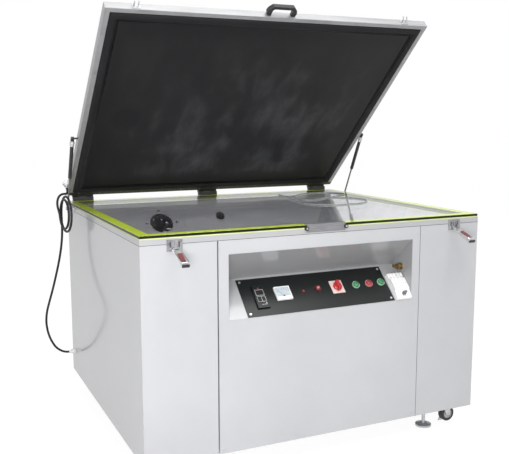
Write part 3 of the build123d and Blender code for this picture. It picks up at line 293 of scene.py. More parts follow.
LINE = surface("window_line", (0.42, 0.42, 0.42), (0.55, 0.55, 0.55), 60, (0.3, 0.4), bump=0.03)
BRASS = surface("brass", (0.16, 0.11, 0.05), (0.42, 0.31, 0.14), 70, (0.3, 0.55), 0.85, 0.12, 400)
SEAL = surface("yellow_seal", (0.58, 0.74, 0.03), (0.70, 0.86, 0.06), 14, (0.45, 0.6), bump=0.05)
SEAL_EDGE = surface("seal_edge", (0.50, 0.54, 0.22), (0.62, 0.66, 0.32), 14, (0.45, 0.6), bump=0.05)
LINER = surface("chamber_liner", (0.66, 0.66, 0.69), (0.95, 0.95, 0.97), 5, (0.3, 0.5), bump=0.06, grain=300,
                stretch=(0.7, 4, 4))
GUARD = surface("guard_steel", (0.17, 0.17, 0.18), (0.26, 0.26, 0.27), 20, (0.3, 0.4), 0.3, 0.06, 600,
                (1, 1, 12), edge=0.0006)
HOSE = surface("hose_black", (0.008, 0.008, 0.009), (0.016, 0.016, 0.017), 60, (0.4, 0.55), bump=0.05,
               spec=0.3)
TREAD = surface("tread_rubber", (0.012, 0.012, 0.012), (0.03, 0.03, 0.03), 60, (0.5, 0.7), bump=0.15)
WHEEL = surface("wheel_hub", (0.30, 0.30, 0.31), (0.42, 0.42, 0.43), 40, (0.35, 0.5), 0.4, 0.08)
PUMP = surface("pump_paint", (0.12, 0.14, 0.17), (0.18, 0.2, 0.24), 12, (0.4, 0.6), bump=0.2, grain=200)
CORD = surface("bleed_cord", (0.20, 0.22, 0.21), (0.34, 0.36, 0.35), 90, (0.2, 0.35), bump=0.05, coat=0.4)
# painted shade for the gaps between panels and the slots of the latch bases
SEAM_SHADE = surface("seam_painted_shade", (0.02, 0.02, 0.02), (0.035, 0.035, 0.035), 20, (0.6, 0.8))
GLASS = glass("bed_glass", (0.975, 0.978, 0.98))
EDGE = surface("glass_edge", (0.004, 0.008, 0.004), (0.009, 0.016, 0.007), 10, (0.3, 0.4), bump=0.01,
               spec=0.2)
RUBBER = rubber_sheet()
BEAD = surface("bead_rubber", (0.011, 0.011, 0.012), (0.018, 0.018, 0.020), 5, (0.6, 0.8), bump=0.1, spec=0.2)

look = {
    "chassis": SHADE, "top_rim": RIM_SHADE, "side_panel_left": PAINT, "side_panel_right": PAINT,
    "rear_panel": PAINT, "front_panel": PAINT, "control_recess": PAINT, "glass_plate": GLASS,
    "glass_gasket": SEAL, "glass_guard": GUARD, "light_chamber": LINER, "lamp": WHITE, "fan_frame": BLACK,
    "cable_grommets": BLACK, "vacuum_pump": PUMP, "lamp_ballast": STEEL, "control_plate": PANEL,
    "timer": PANEL, "panel_meter": WHITE, "pilot_lamps": DARK_RED, "switch_plate": PINK,
    "breaker_body": WHITE, "valve_body": BRASS, "caster_mounts": ZINC, "leveling_feet": STEEL,
    "latch_bases": LATCH, "hinge_brackets": BLACK_AND_SHADE, "strut_brackets": STEEL, "hose_fitting": WHITE,
    "fan_impeller": BLACK, "switch_knob": RED, "button_start": GREEN, "button_stop": RED,
    "button_vacuum": GREEN, "breaker_handle": GREY, "valve_handle": BRASS, "caster_fork_left": ZINC,
    "caster_fork_right": ZINC, "latch_lever_left": ZINC, "latch_lever_right": ZINC,
    "latch_bail_left": CHROME, "latch_bail_right": CHROME, "strut_rod_left": ROD,
    "strut_rod_right": ROD, "strut_tube_left": STRUT, "strut_tube_right": STRUT, "lid_frame": RAIL,
    "clamp_strips": STRIP, "blanket": BEAD, "lid_handle": BLACK, "lid_catches": ZINC, "lid_fitting": ZINC,
    "hinge_leaves": BLACK_AND_SHADE, "hose_run": HOSE, "hose_coil": HOSE, "bleed_cord": CORD,
}
for name, obj in nodes.items():
    obj.data.materials.clear()
    obj.data.materials.append(look.get(name, TREAD))  # the caster wheels aren't in look


def repaint(name, paint, chosen):
    """Gives the faces of a node that chosen(centre, normal) picks another material."""
    mesh = nodes[name].data
    mesh.materials.append(paint)
    index = len(mesh.materials) - 1
    for f in mesh.polygons:
        if chosen(f.center, f.normal):
            f.material_index = index


def shelf_coords(p):
    """What shelf_point takes, for a point."""
    d = p - Vector((0, FRONT, SHELF_LOW))
    c, k = math.cos(SHELF_A), math.sin(SHELF_A)
    return p.x, d.y * c + d.z * k, -d.y * k + d.z * c


BUTTONS = {"start": 0.171, "stop": 0.229, "vacuum": 0.284}  # x of each button
BUTTON_S = 0.09
RING_R = 0.0165  # just past the ring of a button
PLATE_N = 0.0021  # just above the face of the control plate


def near_button(p, name):
    """Whether a point is on the ring of this button."""
    x, s, n = shelf_coords(p)
    return n > PLATE_N and math.hypot(x - BUTTONS[name], s - BUTTON_S) < RING_R


def lid_coords(p):
    """What lid_point takes, for a point."""
    d = p - HINGE
    c, k = math.cos(OPEN), math.sin(OPEN)
    return p.x, d.z * k - d.y * c, d.y * k + d.z * c


# painted shade: the control shelf gets the darker copy of the cabinet paint
repaint("control_recess", RIM_SHADE, lambda c, n: n.z > 0.5 and n.y < -0.2)
# painted shade on the cheeks and roof of the control recess
repaint("control_recess", RECESS_SHADE, lambda c, n: abs(n.x) > 0.7 or (n.y < -0.2 and n.z < -0.2))
repaint("glass_plate", EDGE, lambda c, n: abs(n.z) < 0.3)
repaint("glass_gasket", SEAL_EDGE, lambda c, n: abs(n.z) < 0.3)
repaint("control_plate", ZINC, lambda c, n: shelf_coords(c)[2] > PLATE_N)
for name, paint in (("start", GREEN_RING), ("stop", RED_RING), ("vacuum", GREEN_RING)):
    repaint("control_plate", paint, lambda c, n: near_button(c, name))
SHADE_FROM_HINGE = 0.052  # how far from the hinge axis the underside of the lid is painted with shade
# painted shade on the hinge side of the rails and strips under the lid
for name in ("lid_frame", "clamp_strips"):
    repaint(name, BLACK_AND_SHADE, lambda c, n: lid_coords(c)[1] < SHADE_FROM_HINGE and lid_coords(HINGE + n)[2] < -0.5)
BUMPER = Vector((0.082, FRONT, 0.870))  # the right one of the two on the glass guard
BUMPER_R, BUMPER_SCREW_R = 0.0085, 0.0036


def off_bumper(c):
    """Distance from the axis of the nearest bumper."""
    return math.hypot(abs(c.x) - BUMPER.x, c.z - BUMPER.z)


repaint("glass_guard", BLACK, lambda c, n: off_bumper(c) < BUMPER_R and c.y < FRONT - 0.0005)
repaint("glass_guard", ZINC, lambda c, n: off_bumper(c) < BUMPER_SCREW_R and c.y < FRONT - 0.0071)
LATCHES = (("left", -0.58), ("right", 0.58))  # x of each latch
LEVER_PIVOT = Vector((0, CAB_Y - 0.6, 0.835))
LEVER_A = math.radians(23.6)  # slope of the levers at rest
GRIP_FROM, GRIP_TO, TIP_FROM = 0.0395, 0.0865, 0.1055  # along a lever
GRIP_N = 0.00402  # just above the plate of the lever


def lever_coords(p):
    """How far a point lies along a latch lever from its pivot, and off its middle plane."""
    d = p - LEVER_PIVOT
    c, k = math.cos(LEVER_A), math.sin(LEVER_A)
    return -d.y * c - d.z * k, d.z * c - d.y * k


def on_grip(c, n):
    """Whether a face is on the raised grip of a lever."""
    along, off = lever_coords(c)
    return GRIP_FROM < along < GRIP_TO and off > GRIP_N


for side, _ in LATCHES:
    repaint(f"latch_lever_{side}", GRIP, on_grip)
    repaint(f"latch_lever_{side}", BLACK, lambda c, n: lever_coords(c)[0] > TIP_FROM)
HUB_R = 0.0205
for place in ("front_left", "front_right", "rear_left", "rear_right"):
    lo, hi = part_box(f"caster_wheel_{place}")
    mid = (lo + hi) / 2
    across = 0 if place.startswith("front") else 1  # index of the axis at right angles to the axle
    repaint(f"caster_wheel_{place}", WHEEL,
            lambda c, n: math.hypot(c[across] - mid[across], c.z - mid.z) < HUB_R)


# ------------------------------------------------------------------ mesh helpers
def place_mesh(name, mesh, paint):
    """Object with this mesh and material, in the scene."""
    mesh.materials.append(paint)
    obj = bpy.data.objects.new(name, mesh)
    bpy.context.scene.collection.objects.link(obj)
    return obj


def band(a, b, count):
    """Faces between two rings of vertices that start at a and b."""
    return [(a + k, a + (k + 1) % count, b + (k + 1) % count, b + k) for k in range(count)]


def piece(name, verts, faces, paint, smooth=False):
    """Object made of these points and faces."""
    mesh = bpy.data.meshes.new(name)
    mesh.from_pydata([tuple(v) for v in verts], [], faces)
    mesh.validate()
    mesh.update()
    for f in mesh.polygons:
        f.use_smooth = smooth
    return place_mesh(name, mesh, paint)


def outward(obj):
    """Turns the faces of a closed piece outwards."""
    shell = bmesh.new()
    shell.from_mesh(obj.data)
    bmesh.ops.recalc_face_normals(shell, faces=shell.faces)
    shell.to_mesh(obj.data)
    shell.free()
    return obj


def block(name, low, high, paint, cut=0.0003):
    """Upright block with chamfered edges."""
    shell = bmesh.new()
    bmesh.ops.create_cube(shell, size=1)
    low, high = Vector(low), Vector(high)
    for v in shell.verts:
        v.co = Vector(((low[k] + high[k]) / 2 + v.co[k] * (high[k] - low[k])) for k in range(3))
    bmesh.ops.bevel(shell, geom=shell.edges[:], offset=cut, segments=1, affect="EDGES")
    mesh = bpy.data.meshes.new(name)
    shell.to_mesh(mesh)
    shell.free()
    return place_mesh(name, mesh, paint)


def plate(name, place, x, s, n, paint, cut=0.0004):
    """Thin plate with chamfered upper edges, between limits on a local face."""
    verts = []
    for h, inset in ((n[0], 0), (n[1] - cut, 0), (n[1], cut)):
        for px, ps in ((x[0] + inset, s[0] + inset), (x[1] - inset, s[0] + inset),
                       (x[1] - inset, s[1] - inset), (x[0] + inset, s[1] - inset)):
            verts.append(place(px, ps, h))
    faces = [(3, 2, 1, 0), (8, 9, 10, 11)] + band(0, 4, 4) + band(4, 8, 4)
    return piece(name, verts, faces, paint)


def frame_plate(name, place, x, s, n, wide, paint):
    """Rectangular rim."""
    outer = [(x[0], s[0]), (x[1], s[0]), (x[1], s[1]), (x[0], s[1])]
    inner = [(x[0] + wide, s[0] + wide), (x[1] - wide, s[0] + wide), (x[1] - wide, s[1] - wide),
             (x[0] + wide, s[1] - wide)]
    verts = [place(*p, n[0]) for p in outer + inner] + [place(*p, n[1]) for p in outer + inner]
    faces = []
    for k in range(4):
        j = (k + 1) % 4
        faces += [(8 + k, 8 + j, 12 + j, 12 + k), (k, 4 + k, 4 + j, j), (k, j, 8 + j, 8 + k),
                  (4 + j, 4 + k, 12 + k, 12 + j)]
    return piece(name, verts, faces, paint)


def dome(name, place, c, r, n, paint, rise=0.35, sides=32):
    """Turned button with a crowned face."""
    crown = r * rise
    profile = [(r, n[0]), (r, n[1] - crown * 0.5), (r * 0.94, n[1] - crown * 0.22),
               (r * 0.75, n[1] - crown * 0.08), (r * 0.4, n[1] - crown * 0.02)]
    verts = []
    for pr, pn in profile:
        for k in range(sides):
            a = 2 * math.pi * k / sides
            verts.append(place(c[0] + pr * math.cos(a), c[1] + pr * math.sin(a), pn))
    verts.append(place(c[0], c[1], n[1]))
    faces = [tuple(range(sides - 1, -1, -1))]
    for ring in range(len(profile) - 1):
        faces += band(ring * sides, (ring + 1) * sides, sides)
    top = len(profile) * sides
    faces += [(top - sides + k, top - sides + (k + 1) % sides, top) for k in range(sides)]
    return piece(name, verts, faces, paint, True)


def spline_path(points, name):
    """Points along one smooth NURBS line with these control points."""
    curve = bpy.data.curves.new(name, "CURVE")
    curve.dimensions = "3D"
    curve.resolution_u = 8
    line = curve.splines.new("NURBS")
    line.points.add(len(points) - 1)
    for k, p in enumerate(points):
        line.points[k].co = (*p, 1)
    line.order_u = 3
    line.use_endpoint_u = True
    obj = bpy.data.objects.new(name, curve)
    bpy.context.scene.collection.objects.link(obj)
    mesh = bpy.data.meshes.new_from_object(obj)
    path = [v.co.copy() for v in mesh.vertices]
    bpy.data.objects.remove(obj)
    bpy.data.curves.remove(curve)
    bpy.data.meshes.remove(mesh)
    return path


def tube(name, path, radius, paint, sides=16):
    """Round tube along a path, with flat closed ends."""
    tangent = (path[1] - path[0]).normalized()
    side = tangent.orthogonal().normalized()
    verts, faces = [], []
    for k, p in enumerate(path):
        ahead = path[min(k + 1, len(path) - 1)] - path[max(k - 1, 0)]
        ahead.normalize()
        side = (side - ahead * side.dot(ahead)).normalized()
        up = ahead.cross(side)
        for j in range(sides):
            a = 2 * math.pi * j / sides
            verts.append(p + (side * math.cos(a) + up * math.sin(a)) * radius)
    for k in range(len(path) - 1):
        faces += band(k * sides, (k + 1) * sides, sides)
    faces.append(tuple(range(sides - 1, -1, -1)))
    last = (len(path) - 1) * sides
    faces.append(tuple(range(last, last + sides)))
    obj = piece(name, verts, faces, paint, True)
    for f in obj.data.polygons[-2:]:
        f.use_smooth = False
    return obj


# ------------------------------------------------------------------ vacuum hose
HOSE_R = 0.005
# points of the route from the fitting on the left panel up to the coil
run = [(-0.729, 0.5758, 0.179), (-0.749, 0.5758, 0.179), (-0.7855, 0.5766, 0.2027), (-0.8072, 0.57, 0.2406),
       (-0.822, 0.5506, 0.2775), (-0.8321, 0.5272, 0.3138), (-0.8382, 0.5096, 0.354),
       (-0.8346, 0.5037, 0.3975), (-0.8217, 0.5077, 0.4398), (-0.8075, 0.5125, 0.4816),
       (-0.7951, 0.5138, 0.5242), (-0.7845, 0.5108, 0.5672), (-0.7757, 0.5029, 0.61),
       (-0.7687, 0.492, 0.6524), (-0.7635, 0.481, 0.6951), (-0.7601, 0.4723, 0.7385),
       (-0.7587, 0.468, 0.7827), (-0.7591, 0.4699, 0.827)]
COIL_C = Vector((-0.748, CAB_Y + 0.3595, 0.847))
REARWARD = Vector((-0.16, 0.987, 0)).normalized()
OUTWARD = Vector((-0.987, -0.16, 0)).normalized()


def coil_point(turn):
    """Point of the coil, which gets smaller and moves outwards with each turn."""
    size = 1 - 0.16 * turn
    a = 2 * math.pi * turn
    return (COIL_C + REARWARD * (0.071 * size * math.cos(a)) + Vector((0, 0, 0.0845 * size * math.sin(a)))
            + OUTWARD * (0.008 * turn))


coil = [tuple(coil_point(k / 16)) for k in range(33)]  # two turns
nipple = lid_point(-0.713, 0.092, -0.0301)
leave = nipple - Vector((0, math.sin(OPEN), math.cos(OPEN))) * 0.016
rise = [(-0.7765, 0.4485, 0.868), (-0.7790, 0.4545, 0.888), (-0.7750, 0.4655, 0.907),
        (-0.7655, 0.4810, 0.9205), (-0.7520, 0.4990, 0.9275), (-0.7350, 0.5190, 0.9275),
        (-0.7195, 0.5370, 0.9245), tuple(leave), tuple(nipple)]
hose_path = spline_path(run + coil + rise, "hose_route")
hose = tube("vacuum_hose", hose_path, HOSE_R, HOSE)
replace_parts(hose, "hose_run", "hose_coil")
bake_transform(hose)

# ------------------------------------------------------------------ bleed cord on the glass
CORD_Z = 0.8858  # its middle, when it lies on the glass
CORD_R = 0.0025
loops = [(0.303, 0.4458), (0.2987, 0.4043), (0.2917, 0.3631), (0.2829, 0.3223), (0.273, 0.2817),
         (0.2628, 0.2412), (0.2534, 0.2005), (0.2455, 0.1594), (0.2397, 0.1181), (0.2358, 0.0765),
         (0.2349, 0.0347), (0.2432, -0.006), (0.2662, -0.0405), (0.3016, -0.0621), (0.3428, -0.0682),
         (0.3843, -0.0639), (0.4254, -0.0567), (0.466, -0.0472), (0.5029, -0.0278), (0.5329, 0.0011),
         (0.5541, 0.0369), (0.5634, 0.0774), (0.5589, 0.1188), (0.5469, 0.1588), (0.5243, 0.1935),
         (0.4876, 0.2126), (0.4463, 0.2127), (0.4083, 0.1957), (0.3751, 0.1704), (0.3409, 0.1469),
         (0.3022, 0.1553), (0.2837, 0.1915), (0.2892, 0.2327), (0.3001, 0.273), (0.3155, 0.3118),
         (0.3395, 0.3459), (0.3683, 0.3761), (0.3976, 0.4059), (0.4303, 0.4317), (0.4695, 0.4457),
         (0.5111, 0.4472), (0.5522, 0.44), (0.5901, 0.4229), (0.6164, 0.3912), (0.6228, 0.3504),
         (0.6037, 0.3144), (0.5687, 0.2917), (0.5316, 0.2726), (0.496, 0.2508)]
cord_path = spline_path([(x, y, CORD_Z) for x, y in loops], "cord_route")
cord = tube("bleed_line", cord_path, CORD_R, CORD, 12)
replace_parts(cord, "bleed_cord")
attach(cord, "cabinet")

# ------------------------------------------------------------------ rubber blanket of the lid
BX, BS0, BS1 = 0.6797, 0.0433, 1.0997  # half its width, and its two ends from the hinge axis
BEAD_W = 0.040
FLAT_TO_SLACK = 0.12  # width of the change from the flat edge to the slack middle
SHEET_N = -0.0163  # middle of the rubber, off the middle plane of the lid


def blanket_point(x, s):
    """Middle of the rubber: flat at its edges, with shallow slack waves inside."""
    edge = min(BX - abs(x), s - BS0, BS1 - s)
    free = max(0.0, min(1.0, (edge - BEAD_W) / FLAT_TO_SLACK))
    free = free * free * (3 - 2 * free)
    wide = noise.noise(Vector((x * 2.1, s * 1.9, 3.1))) * 0.0016
    narrow = noise.noise(Vector((x * 5.0 + 7, s * 4.2, 1.7))) * 0.0006
    return lid_point(x, s, SHEET_N + (wide + narrow) * free)


cols, rows = 96, 76
verts = [blanket_point(-BX + 2 * BX * i / cols, BS0 + (BS1 - BS0) * j / rows) for j in range(rows + 1)
         for i in range(cols + 1)]
row = cols + 1
faces = [(j * row + i, (j + 1) * row + i, (j + 1) * row + i + 1, j * row + i + 1)
         for j in range(rows) for i in range(cols)]
sheet = piece("blanket_sheet", verts, faces, RUBBER, True)
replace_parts(sheet, "blanket")
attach(sheet, "lid")


def bead_ring():
    """Sealing bead round the edge of the rubber, with a soft inner flank, 0.3 mm off the glass when shut."""
    w, low, high = BEAD_W, -0.0168, -0.0237
    cx, cs = BX - w / 2, (BS0 + BS1) / 2
    hs = (BS1 - BS0) / 2 - w / 2
    section = []
    for k in range(15):
        u = 2 * k / 14 - 1  # -1 at the inner edge, 1 at the outer
        rise_in = min(1.0, (u + 1) / 1.1)
        rise_out = 1 - max(0.0, (u - 0.55) / 0.45) ** 3.2
        lift = rise_in * rise_in * (3 - 2 * rise_in) * rise_out
        section.append((u * w / 2, low + lift * (high - low)))
    corner = 0.006
    route = []
    for (sx, ss), start in (((1, -1), -90), ((1, 1), 0), ((-1, 1), 90), ((-1, -1), 180)):
        for k in range(5):
            a = math.radians(start + 90 * k / 4)
            route.append((sx * (cx - corner) + corner * math.cos(a), cs + ss * (hs - corner)
                          + corner * math.sin(a), math.cos(a), math.sin(a)))
    verts, faces = [], []
    for x, s, dx, ds in route:
        stretch = 1 / max(abs(dx), abs(ds)) if min(abs(dx), abs(ds)) > 0.05 else 1
        for u, n in section:
            verts.append(lid_point(x + dx * u * stretch, s + ds * u * stretch, n))
    m = len(section)
    for k in range(len(route)):
        for j in range(m - 1):
            a, b = k * m + j, ((k + 1) % len(route)) * m + j
            faces.append((a, a + 1, b + 1, b))
        a, b = k * m, ((k + 1) % len(route)) * m
        faces.append((a + m - 1, a, b, b + m - 1))
    return piece("blanket_bead", verts, faces, BEAD, True)


bead = bead_ring()
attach(bead, "lid")


# ------------------------------------------------------------------ instruments
def dress(obj, body="cabinet"):
    """Puts a piece on a body."""
    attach(obj, body)
    return obj


TIMER_X = (-0.259, -0.217)
TIMER_S = (0.036, 0.126)
dress(plate("timer_cover", shelf_point, TIMER_X, TIMER_S, (0.0088, 0.0096), PANEL))
for name, x, s in (("upper", (-0.2545, -0.2215), (0.0850, 0.1100)),
                   ("lower", (-0.2545, -0.2215), (0.058, 0.082)),
                   ("split", (-0.2545, -0.2365), (0.058, 0.082))):
    dress(frame_plate(f"timer_window_{name}", shelf_point, x, s, (0.0094, 0.0100), 0.0014, LINE))
dress(plate("timer_line", shelf_point, (-0.244, -0.2215), (0.0455, 0.0470), (0.0095, 0.0099), LINE, 0.0001))
dress(dome("timer_dot", shelf_point, (-0.2245, 0.0508), 0.0019, (0.0094, 0.0101), WHITE))
dress(dome("timer_light", shelf_point, (-0.2380, 0.1165), 0.0021, (0.0094, 0.0103), PALE_RED_AND_HIGHLIGHT))

METER_X = (-0.176, -0.114)
METER_S = (0.058, 0.114)
METER_C = (-0.145, 0.0735)  # hub of the needle
METER_WALL = 0.003
DIAL_X = (METER_X[0] + METER_WALL, METER_X[1] - METER_WALL)
DIAL_S = (METER_S[0] + METER_WALL, METER_S[1] - METER_WALL)
dress(plate("meter_dial", shelf_point, DIAL_X, DIAL_S, (0.0084, 0.0092), DIAL))
dress(frame_plate("meter_bezel", shelf_point, METER_X, METER_S, (0.0098, 0.0106), 0.0022, WHITE))
dress(plate("meter_band", shelf_point, DIAL_X, (0.061, 0.0715), (0.0090, 0.0102), WHITE))


def bar(name, c, angle, near, far, wide, n, paint):
    """Flat tapered bar along a ray of a dial."""
    ray = Vector((math.cos(angle), math.sin(angle)))
    side = Vector((-ray.y, ray.x)) * wide / 2
    c = Vector(c)
    flat = [c + ray * near + side, c + ray * near - side, c + ray * far - side * 0.6,
            c + ray * far + side * 0.6]
    verts = [shelf_point(q.x, q.y, h) for h in n for q in flat]
    faces = [(0, 1, 2, 3), (7, 6, 5, 4), (0, 4, 5, 1), (1, 5, 6, 2), (2, 6, 7, 3), (3, 7, 4, 0)]
    return piece(name, verts, faces, paint)


for k in range(9):
    dress(bar(f"meter_tick_{k}", METER_C, math.radians(40 + 12.5 * k), 0.0285, 0.0325, 0.0008,
              (0.0091, 0.0095), BLACK))
dress(bar("meter_needle", METER_C, math.radians(126), 0, 0.0285, 0.0012, (0.0094, 0.0098), GREY))
dress(dome("meter_hub", shelf_point, METER_C, 0.0035, (0.0090, 0.0110), BLACK))

for name, c, radius, n, paint in (
        ("lens_big", (0.004, 0.092), 0.0095, (0.0105, 0.0135), DARK_RED),
        # painted highlight: a paler red dome a little off the middle of the big lens
        ("painted_highlight_big", (0.0045, 0.0925), 0.0048, (0.0125, 0.0141), PALE_RED_AND_HIGHLIGHT),
        ("lens_small", (-0.059, 0.087), 0.0048, (0.0066, 0.0086), DARK_RED)):
    dress(dome(f"lamp_{name}", shelf_point, c, radius, n, paint, 0.5))

KNOB_C = (0.087, 0.090)
dress(dome("knob_skirt", shelf_point, KNOB_C, 0.0175, (0.0065, 0.0135), RED, 0.12, 40),
      "switch_knob")
KNOB_DOT_C = (KNOB_C[0] + 0.0105, KNOB_C[1] - 0.0110)
dress(dome("knob_dot", shelf_point, KNOB_DOT_C, 0.0017, (0.0120, 0.0138), WHITE),
      "switch_knob")
for name, paint, slot in (("start", GREEN, "green_plastic"), ("stop", CAP_RED, "red_plastic"),
                          ("vacuum", GREEN, "green_plastic")):
    dress(dome(f"cap_{name}", shelf_point, (BUTTONS[name], BUTTON_S), 0.0105, (0.0105, 0.0128), paint, 0.4),
          f"button_{name}")

# ------------------------------------------------------------------ four-pole breaker
BREAKER_X = (0.318, 0.384)
# outline from the side: s up the shelf, n off its face
BREAKER = [(0.0015, 0.0001), (0.0015, 0.0120), (0.0340, 0.0190), (0.0380, 0.0250), (0.0880, 0.0250),
           (0.0900, 0.0180), (0.1160, 0.0180), (0.1160, 0.0001)]


def prism(name, x, profile, paint):
    """Block with a profile of (s, n) points, between two x on the control shelf."""
    count = len(profile)
    verts = [shelf_point(px, s, n) for px in x for s, n in profile]
    faces = [tuple(range(count)), tuple(range(2 * count - 1, count - 1, -1))]
    faces += [(k, count + k, count + (k + 1) % count, (k + 1) % count) for k in range(count)]
    return outward(piece(name, verts, faces, paint))


case = dress(prism("breaker_case", BREAKER_X, BREAKER, WHITE))
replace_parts(case, "breaker_body")


def slope_point(x, s, n):
    """Point on the sloped nose of the breaker."""
    rise_per = (BREAKER[2][1] - BREAKER[1][1]) / (BREAKER[2][0] - BREAKER[1][0])
    return shelf_point(x, s, BREAKER[1][1] + (s - BREAKER[1][0]) * rise_per + n)


dress(plate("breaker_well", slope_point, (0.3445, 0.3615), (0.0105, 0.0295), (-0.002, 0.0004), LINE, 0.0002))
for k in range(4):
    x = BREAKER_X[0] + 0.004 + 0.0162 * k
    dress(plate(f"breaker_pole_{k}", shelf_point, (x, x + 0.0095), (0.094, 0.112), (0.0175, 0.0265), WHITE,
                0.0012))
for k in range(3):
    x = BREAKER_X[0] + 0.0165 * (k + 1)
    dress(plate(f"breaker_line_{k}", shelf_point, (x - 0.0006, x + 0.0006), (0.038, 0.088), (0.0245, 0.0252),
                LINE, 0.0001))
dress(plate("breaker_line_across", shelf_point, (BREAKER_X[0] + 0.0003, BREAKER_X[1] - 0.0003),
            (0.062, 0.0632), (0.0245, 0.0252), LINE, 0.0001))

# ------------------------------------------------------------------ seams, hinge backs, handle, strut ends
RIM_SEAM_Z = 0.849
GAP = 0.0007  # half the height of a seam line
PROUD = 0.0002  # how far a seam line stands off the panels


def cabinet_ring(name, inset, depth, z, paint):
    """Flat ring round the cabinet, from inset to depth inside its sides and between two heights."""
    verts, faces = [], []
    for edge in (inset, depth):
        for h in z:
            verts += [(-HALF_W + edge, FRONT + edge, h), (HALF_W - edge, FRONT + edge, h),
                      (HALF_W - edge, REAR - edge, h), (-HALF_W + edge, REAR - edge, h)]
    for k in range(4):
        j = (k + 1) % 4
        faces += [(k, j, 4 + j, 4 + k), (8 + j, 8 + k, 12 + k, 12 + j), (4 + k, 4 + j, 12 + j, 12 + k),
                  (j, k, 8 + k, 8 + j)]
    return outward(piece(name, verts, faces, paint))


# painted shade: dark line where the rim sits on the panels
dress(cabinet_ring("rim_seam", -PROUD, 0.0008, (RIM_SEAM_Z - GAP, RIM_SEAM_Z + GAP), SEAM_SHADE))
# yellow band, at the height where it is seen through the glass
dress(cabinet_ring("seal_band", 0.0008, 0.040, (GLASS_Z - 0.0022, GLASS_Z - 0.0010), SEAL))
# painted shade: dark plates where the slots in the latch bases are
for side, x in LATCHES:
    for k, dx in enumerate((-0.0155, 0.0155)):
        dress(block(f"latch_slot_{side}_{k}", (x + dx - 0.0022, FRONT - 0.0034, 0.8385),
                    (x + dx + 0.0022, FRONT - 0.0028, 0.8570), SEAM_SHADE))
# painted shade: dark line in the gap where the front panel meets the right side panel
panel_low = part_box("front_panel")[0].z
dress(block("right_seam", (0.4197, FRONT - PROUD, panel_low), (0.4213, FRONT + 0.002, RIM_SEAM_Z), SEAM_SHADE))
# plates behind the lid, from the hinge brackets up to the knuckles
HINGE_HALF = 0.0475
for name, x in (("left", -0.625), ("middle", 0.0), ("right", 0.625)):
    dress(block(f"hinge_back_{name}", (x - HINGE_HALF, REAR + 0.0034, GLASS_Z - 0.0035),
                (x + HINGE_HALF, REAR + 0.0074, HINGE.z - 0.0088), BLACK_AND_SHADE))


def turned(name, base, along, profile, paint, sides=28):
    """Turned ring: a closed outline of (radius, height) pairs round an axis from a base point."""
    side = along.orthogonal().normalized()
    up = along.cross(side)
    verts = [base + along * h + (side * math.cos(a) + up * math.sin(a)) * rad for rad, h in profile
             for a in (2 * math.pi * k / sides for k in range(sides))]
    faces = []
    for ring in range(len(profile)):
        faces += band(ring * sides, (ring + 1) % len(profile) * sides, sides)
    return outward(piece(name, verts, faces, paint))


def carry_handle():
    """Angular pull handle with a slim grip, on the front rail of the lid."""
    outer = [(0.060, 0), (0.065, 0.016), (0.060, 0.030), (0.045, 0.045)]  # x, and height off the rail
    inner = [(0.044, 0), (0.044, 0.014), (0.042, 0.026), (0.036, 0.031)]
    outer = [(-x, h) for x, h in outer] + [(x, h) for x, h in reversed(outer)]
    inner = [(-x, h) for x, h in inner] + [(x, h) for x, h in reversed(inner)]
    half = 0.0095
    lid_front = 1.118  # front face of the front rail, from the hinge axis
    verts = [lid_point(x, lid_front + h, n) for n in (-half, half) for x, h in outer + inner]
    count = len(outer)
    rows = (0, count, 3 * count, 2 * count)
    faces = [(a + k, a + k + 1, b + k + 1, b + k) for k in range(count - 1)
             for a, b in zip(rows, rows[1:] + rows[:1])]
    faces += [rows, tuple(row + count - 1 for row in reversed(rows))]
    handle = outward(piece("carry_handle", verts, faces, BLACK))
    rounded = handle.modifiers.new("rounded", "BEVEL")
    rounded.width = 0.0022
    rounded.segments = 3
    return handle


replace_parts(dress(carry_handle(), "lid"), "lid_handle")
STRUT_X = 0.722
# closed outline of the metal end of a strut: radius and height along its axis
SLEEVE = [(0.0086, 0), (0.0098, 0.0008), (0.0098, 0.0055), (0.0086, 0.0065), (0.0086, 0.0105),
          (0.0106, 0.0115), (0.0106, 0.0185), (0.0086, 0.0195), (0.0086, 0.0260), (0.0079, 0.0260),
          (0.0079, 0)]
for side, x in (("left", -STRUT_X), ("right", STRUT_X)):
    low, top = Vector((x, CAB_Y + 0.474, 0.862)), lid_point(x, 0.4, 0)
    along = (top - low).normalized()
    dress(turned(f"strut_end_{side}", top - along * 0.037, along, SLEEVE, ZINC), f"strut_tube_{side}")

# ------------------------------------------------------------------ stage, light, camera
scene = bpy.context.scene


def stage_material(name, keep):
    """Pale floor that the camera sees as near white: keep is the share of plain glow over its shadow."""
    m, t, p = material(name)
    p.inputs["Base Color"].default_value = (0.62, 0.62, 0.62, 1)
    p.inputs["Roughness"].default_value = 0.9
    glow = add(t, "ShaderNodeEmission")
    glow.inputs["Color"].default_value = (1, 1, 1, 1)
    glow.inputs["Strength"].default_value = 1.17
    mix = add(t, "ShaderNodeMixShader")
    t.links.new(combined(t, "MULTIPLY", seen(t), keep), mix.inputs["Fac"])
    t.links.new(p.outputs["BSDF"], mix.inputs[1])
    t.links.new(glow.outputs["Emission"], mix.inputs[2])
    t.links.new(mix.outputs["Shader"], t.nodes["Material Output"].inputs["Surface"])
    return m


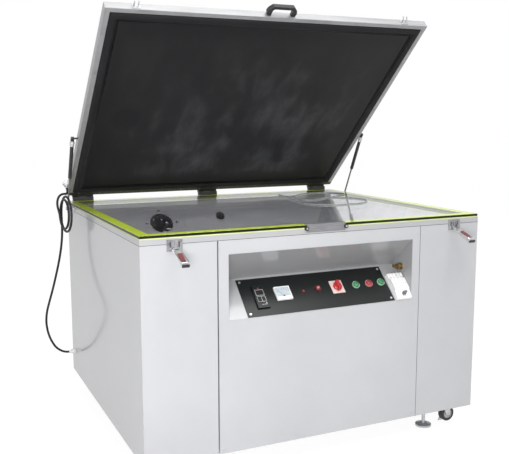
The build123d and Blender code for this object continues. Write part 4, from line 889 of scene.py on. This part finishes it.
floor = piece("floor", [(-30, -30, 0), (30, -30, 0), (30, 30, 0), (-30, 30, 0)], [(0, 1, 2, 3)],
              stage_material("floor_pale", 0.8))

world = bpy.data.worlds.new("studio")
scene.world = world
world.use_nodes = True
sky = world.node_tree
back = sky.nodes["Background"]
back.inputs["Color"].default_value = (1, 1, 1, 1)
sky.links.new(ranged(sky, seen(sky), 0.40, 1.0), back.inputs["Strength"])


def softbox(name, place, target, size, power):
    """Square light at a place, turned to a target."""
    light = bpy.data.lights.new(name, "AREA")
    light.shape = "RECTANGLE"
    light.size = light.size_y = size
    light.energy = power
    obj = bpy.data.objects.new(name, light)
    scene.collection.objects.link(obj)
    turn = (Vector(target) - Vector(place)).to_track_quat("-Z", "Y").to_matrix().to_4x4()
    obj.matrix_world = Matrix.Translation(Vector(place)) @ turn


softbox("key", (-1.7, -3.1, 1.05), (0, -0.3, 0.45), 1.0, 80)
softbox("top", (0.2, -1.5, 3.9), (0.1, 0.1, 0.8), 2.4, 105)
softbox("back", (0.6, 3.6, 3.4), (0, 0.3, 0.8), 2.4, 60)

# camera fitted to the straight edges of the object
EYE = (-1.3842, -2.9745 + CAB_Y, 1.2651)
LENS, SENSOR = 54.0, 36.0
yaw, pitch, roll = math.radians(24.695), math.radians(-8.167), math.radians(-0.094)
ahead = Vector((math.sin(yaw) * math.cos(pitch), math.cos(yaw) * math.cos(pitch), math.sin(pitch)))
right = Vector((math.cos(yaw), -math.sin(yaw), 0))
up = right.cross(ahead)
right, up = (right * math.cos(roll) + up * math.sin(roll), up * math.cos(roll) - right * math.sin(roll))
cam = bpy.data.cameras.new("camera")
cam.lens = LENS
cam.sensor_width = SENSOR
cam.sensor_fit = "HORIZONTAL"
cam.clip_end = 200
cam_obj = bpy.data.objects.new("camera", cam)
scene.collection.objects.link(cam_obj)
cam_obj.matrix_world = Matrix((
    *((right[k], up[k], -ahead[k], EYE[k]) for k in range(3)),
    (0, 0, 0, 1)))
scene.camera = cam_obj
scene.view_settings.view_transform = "Standard"
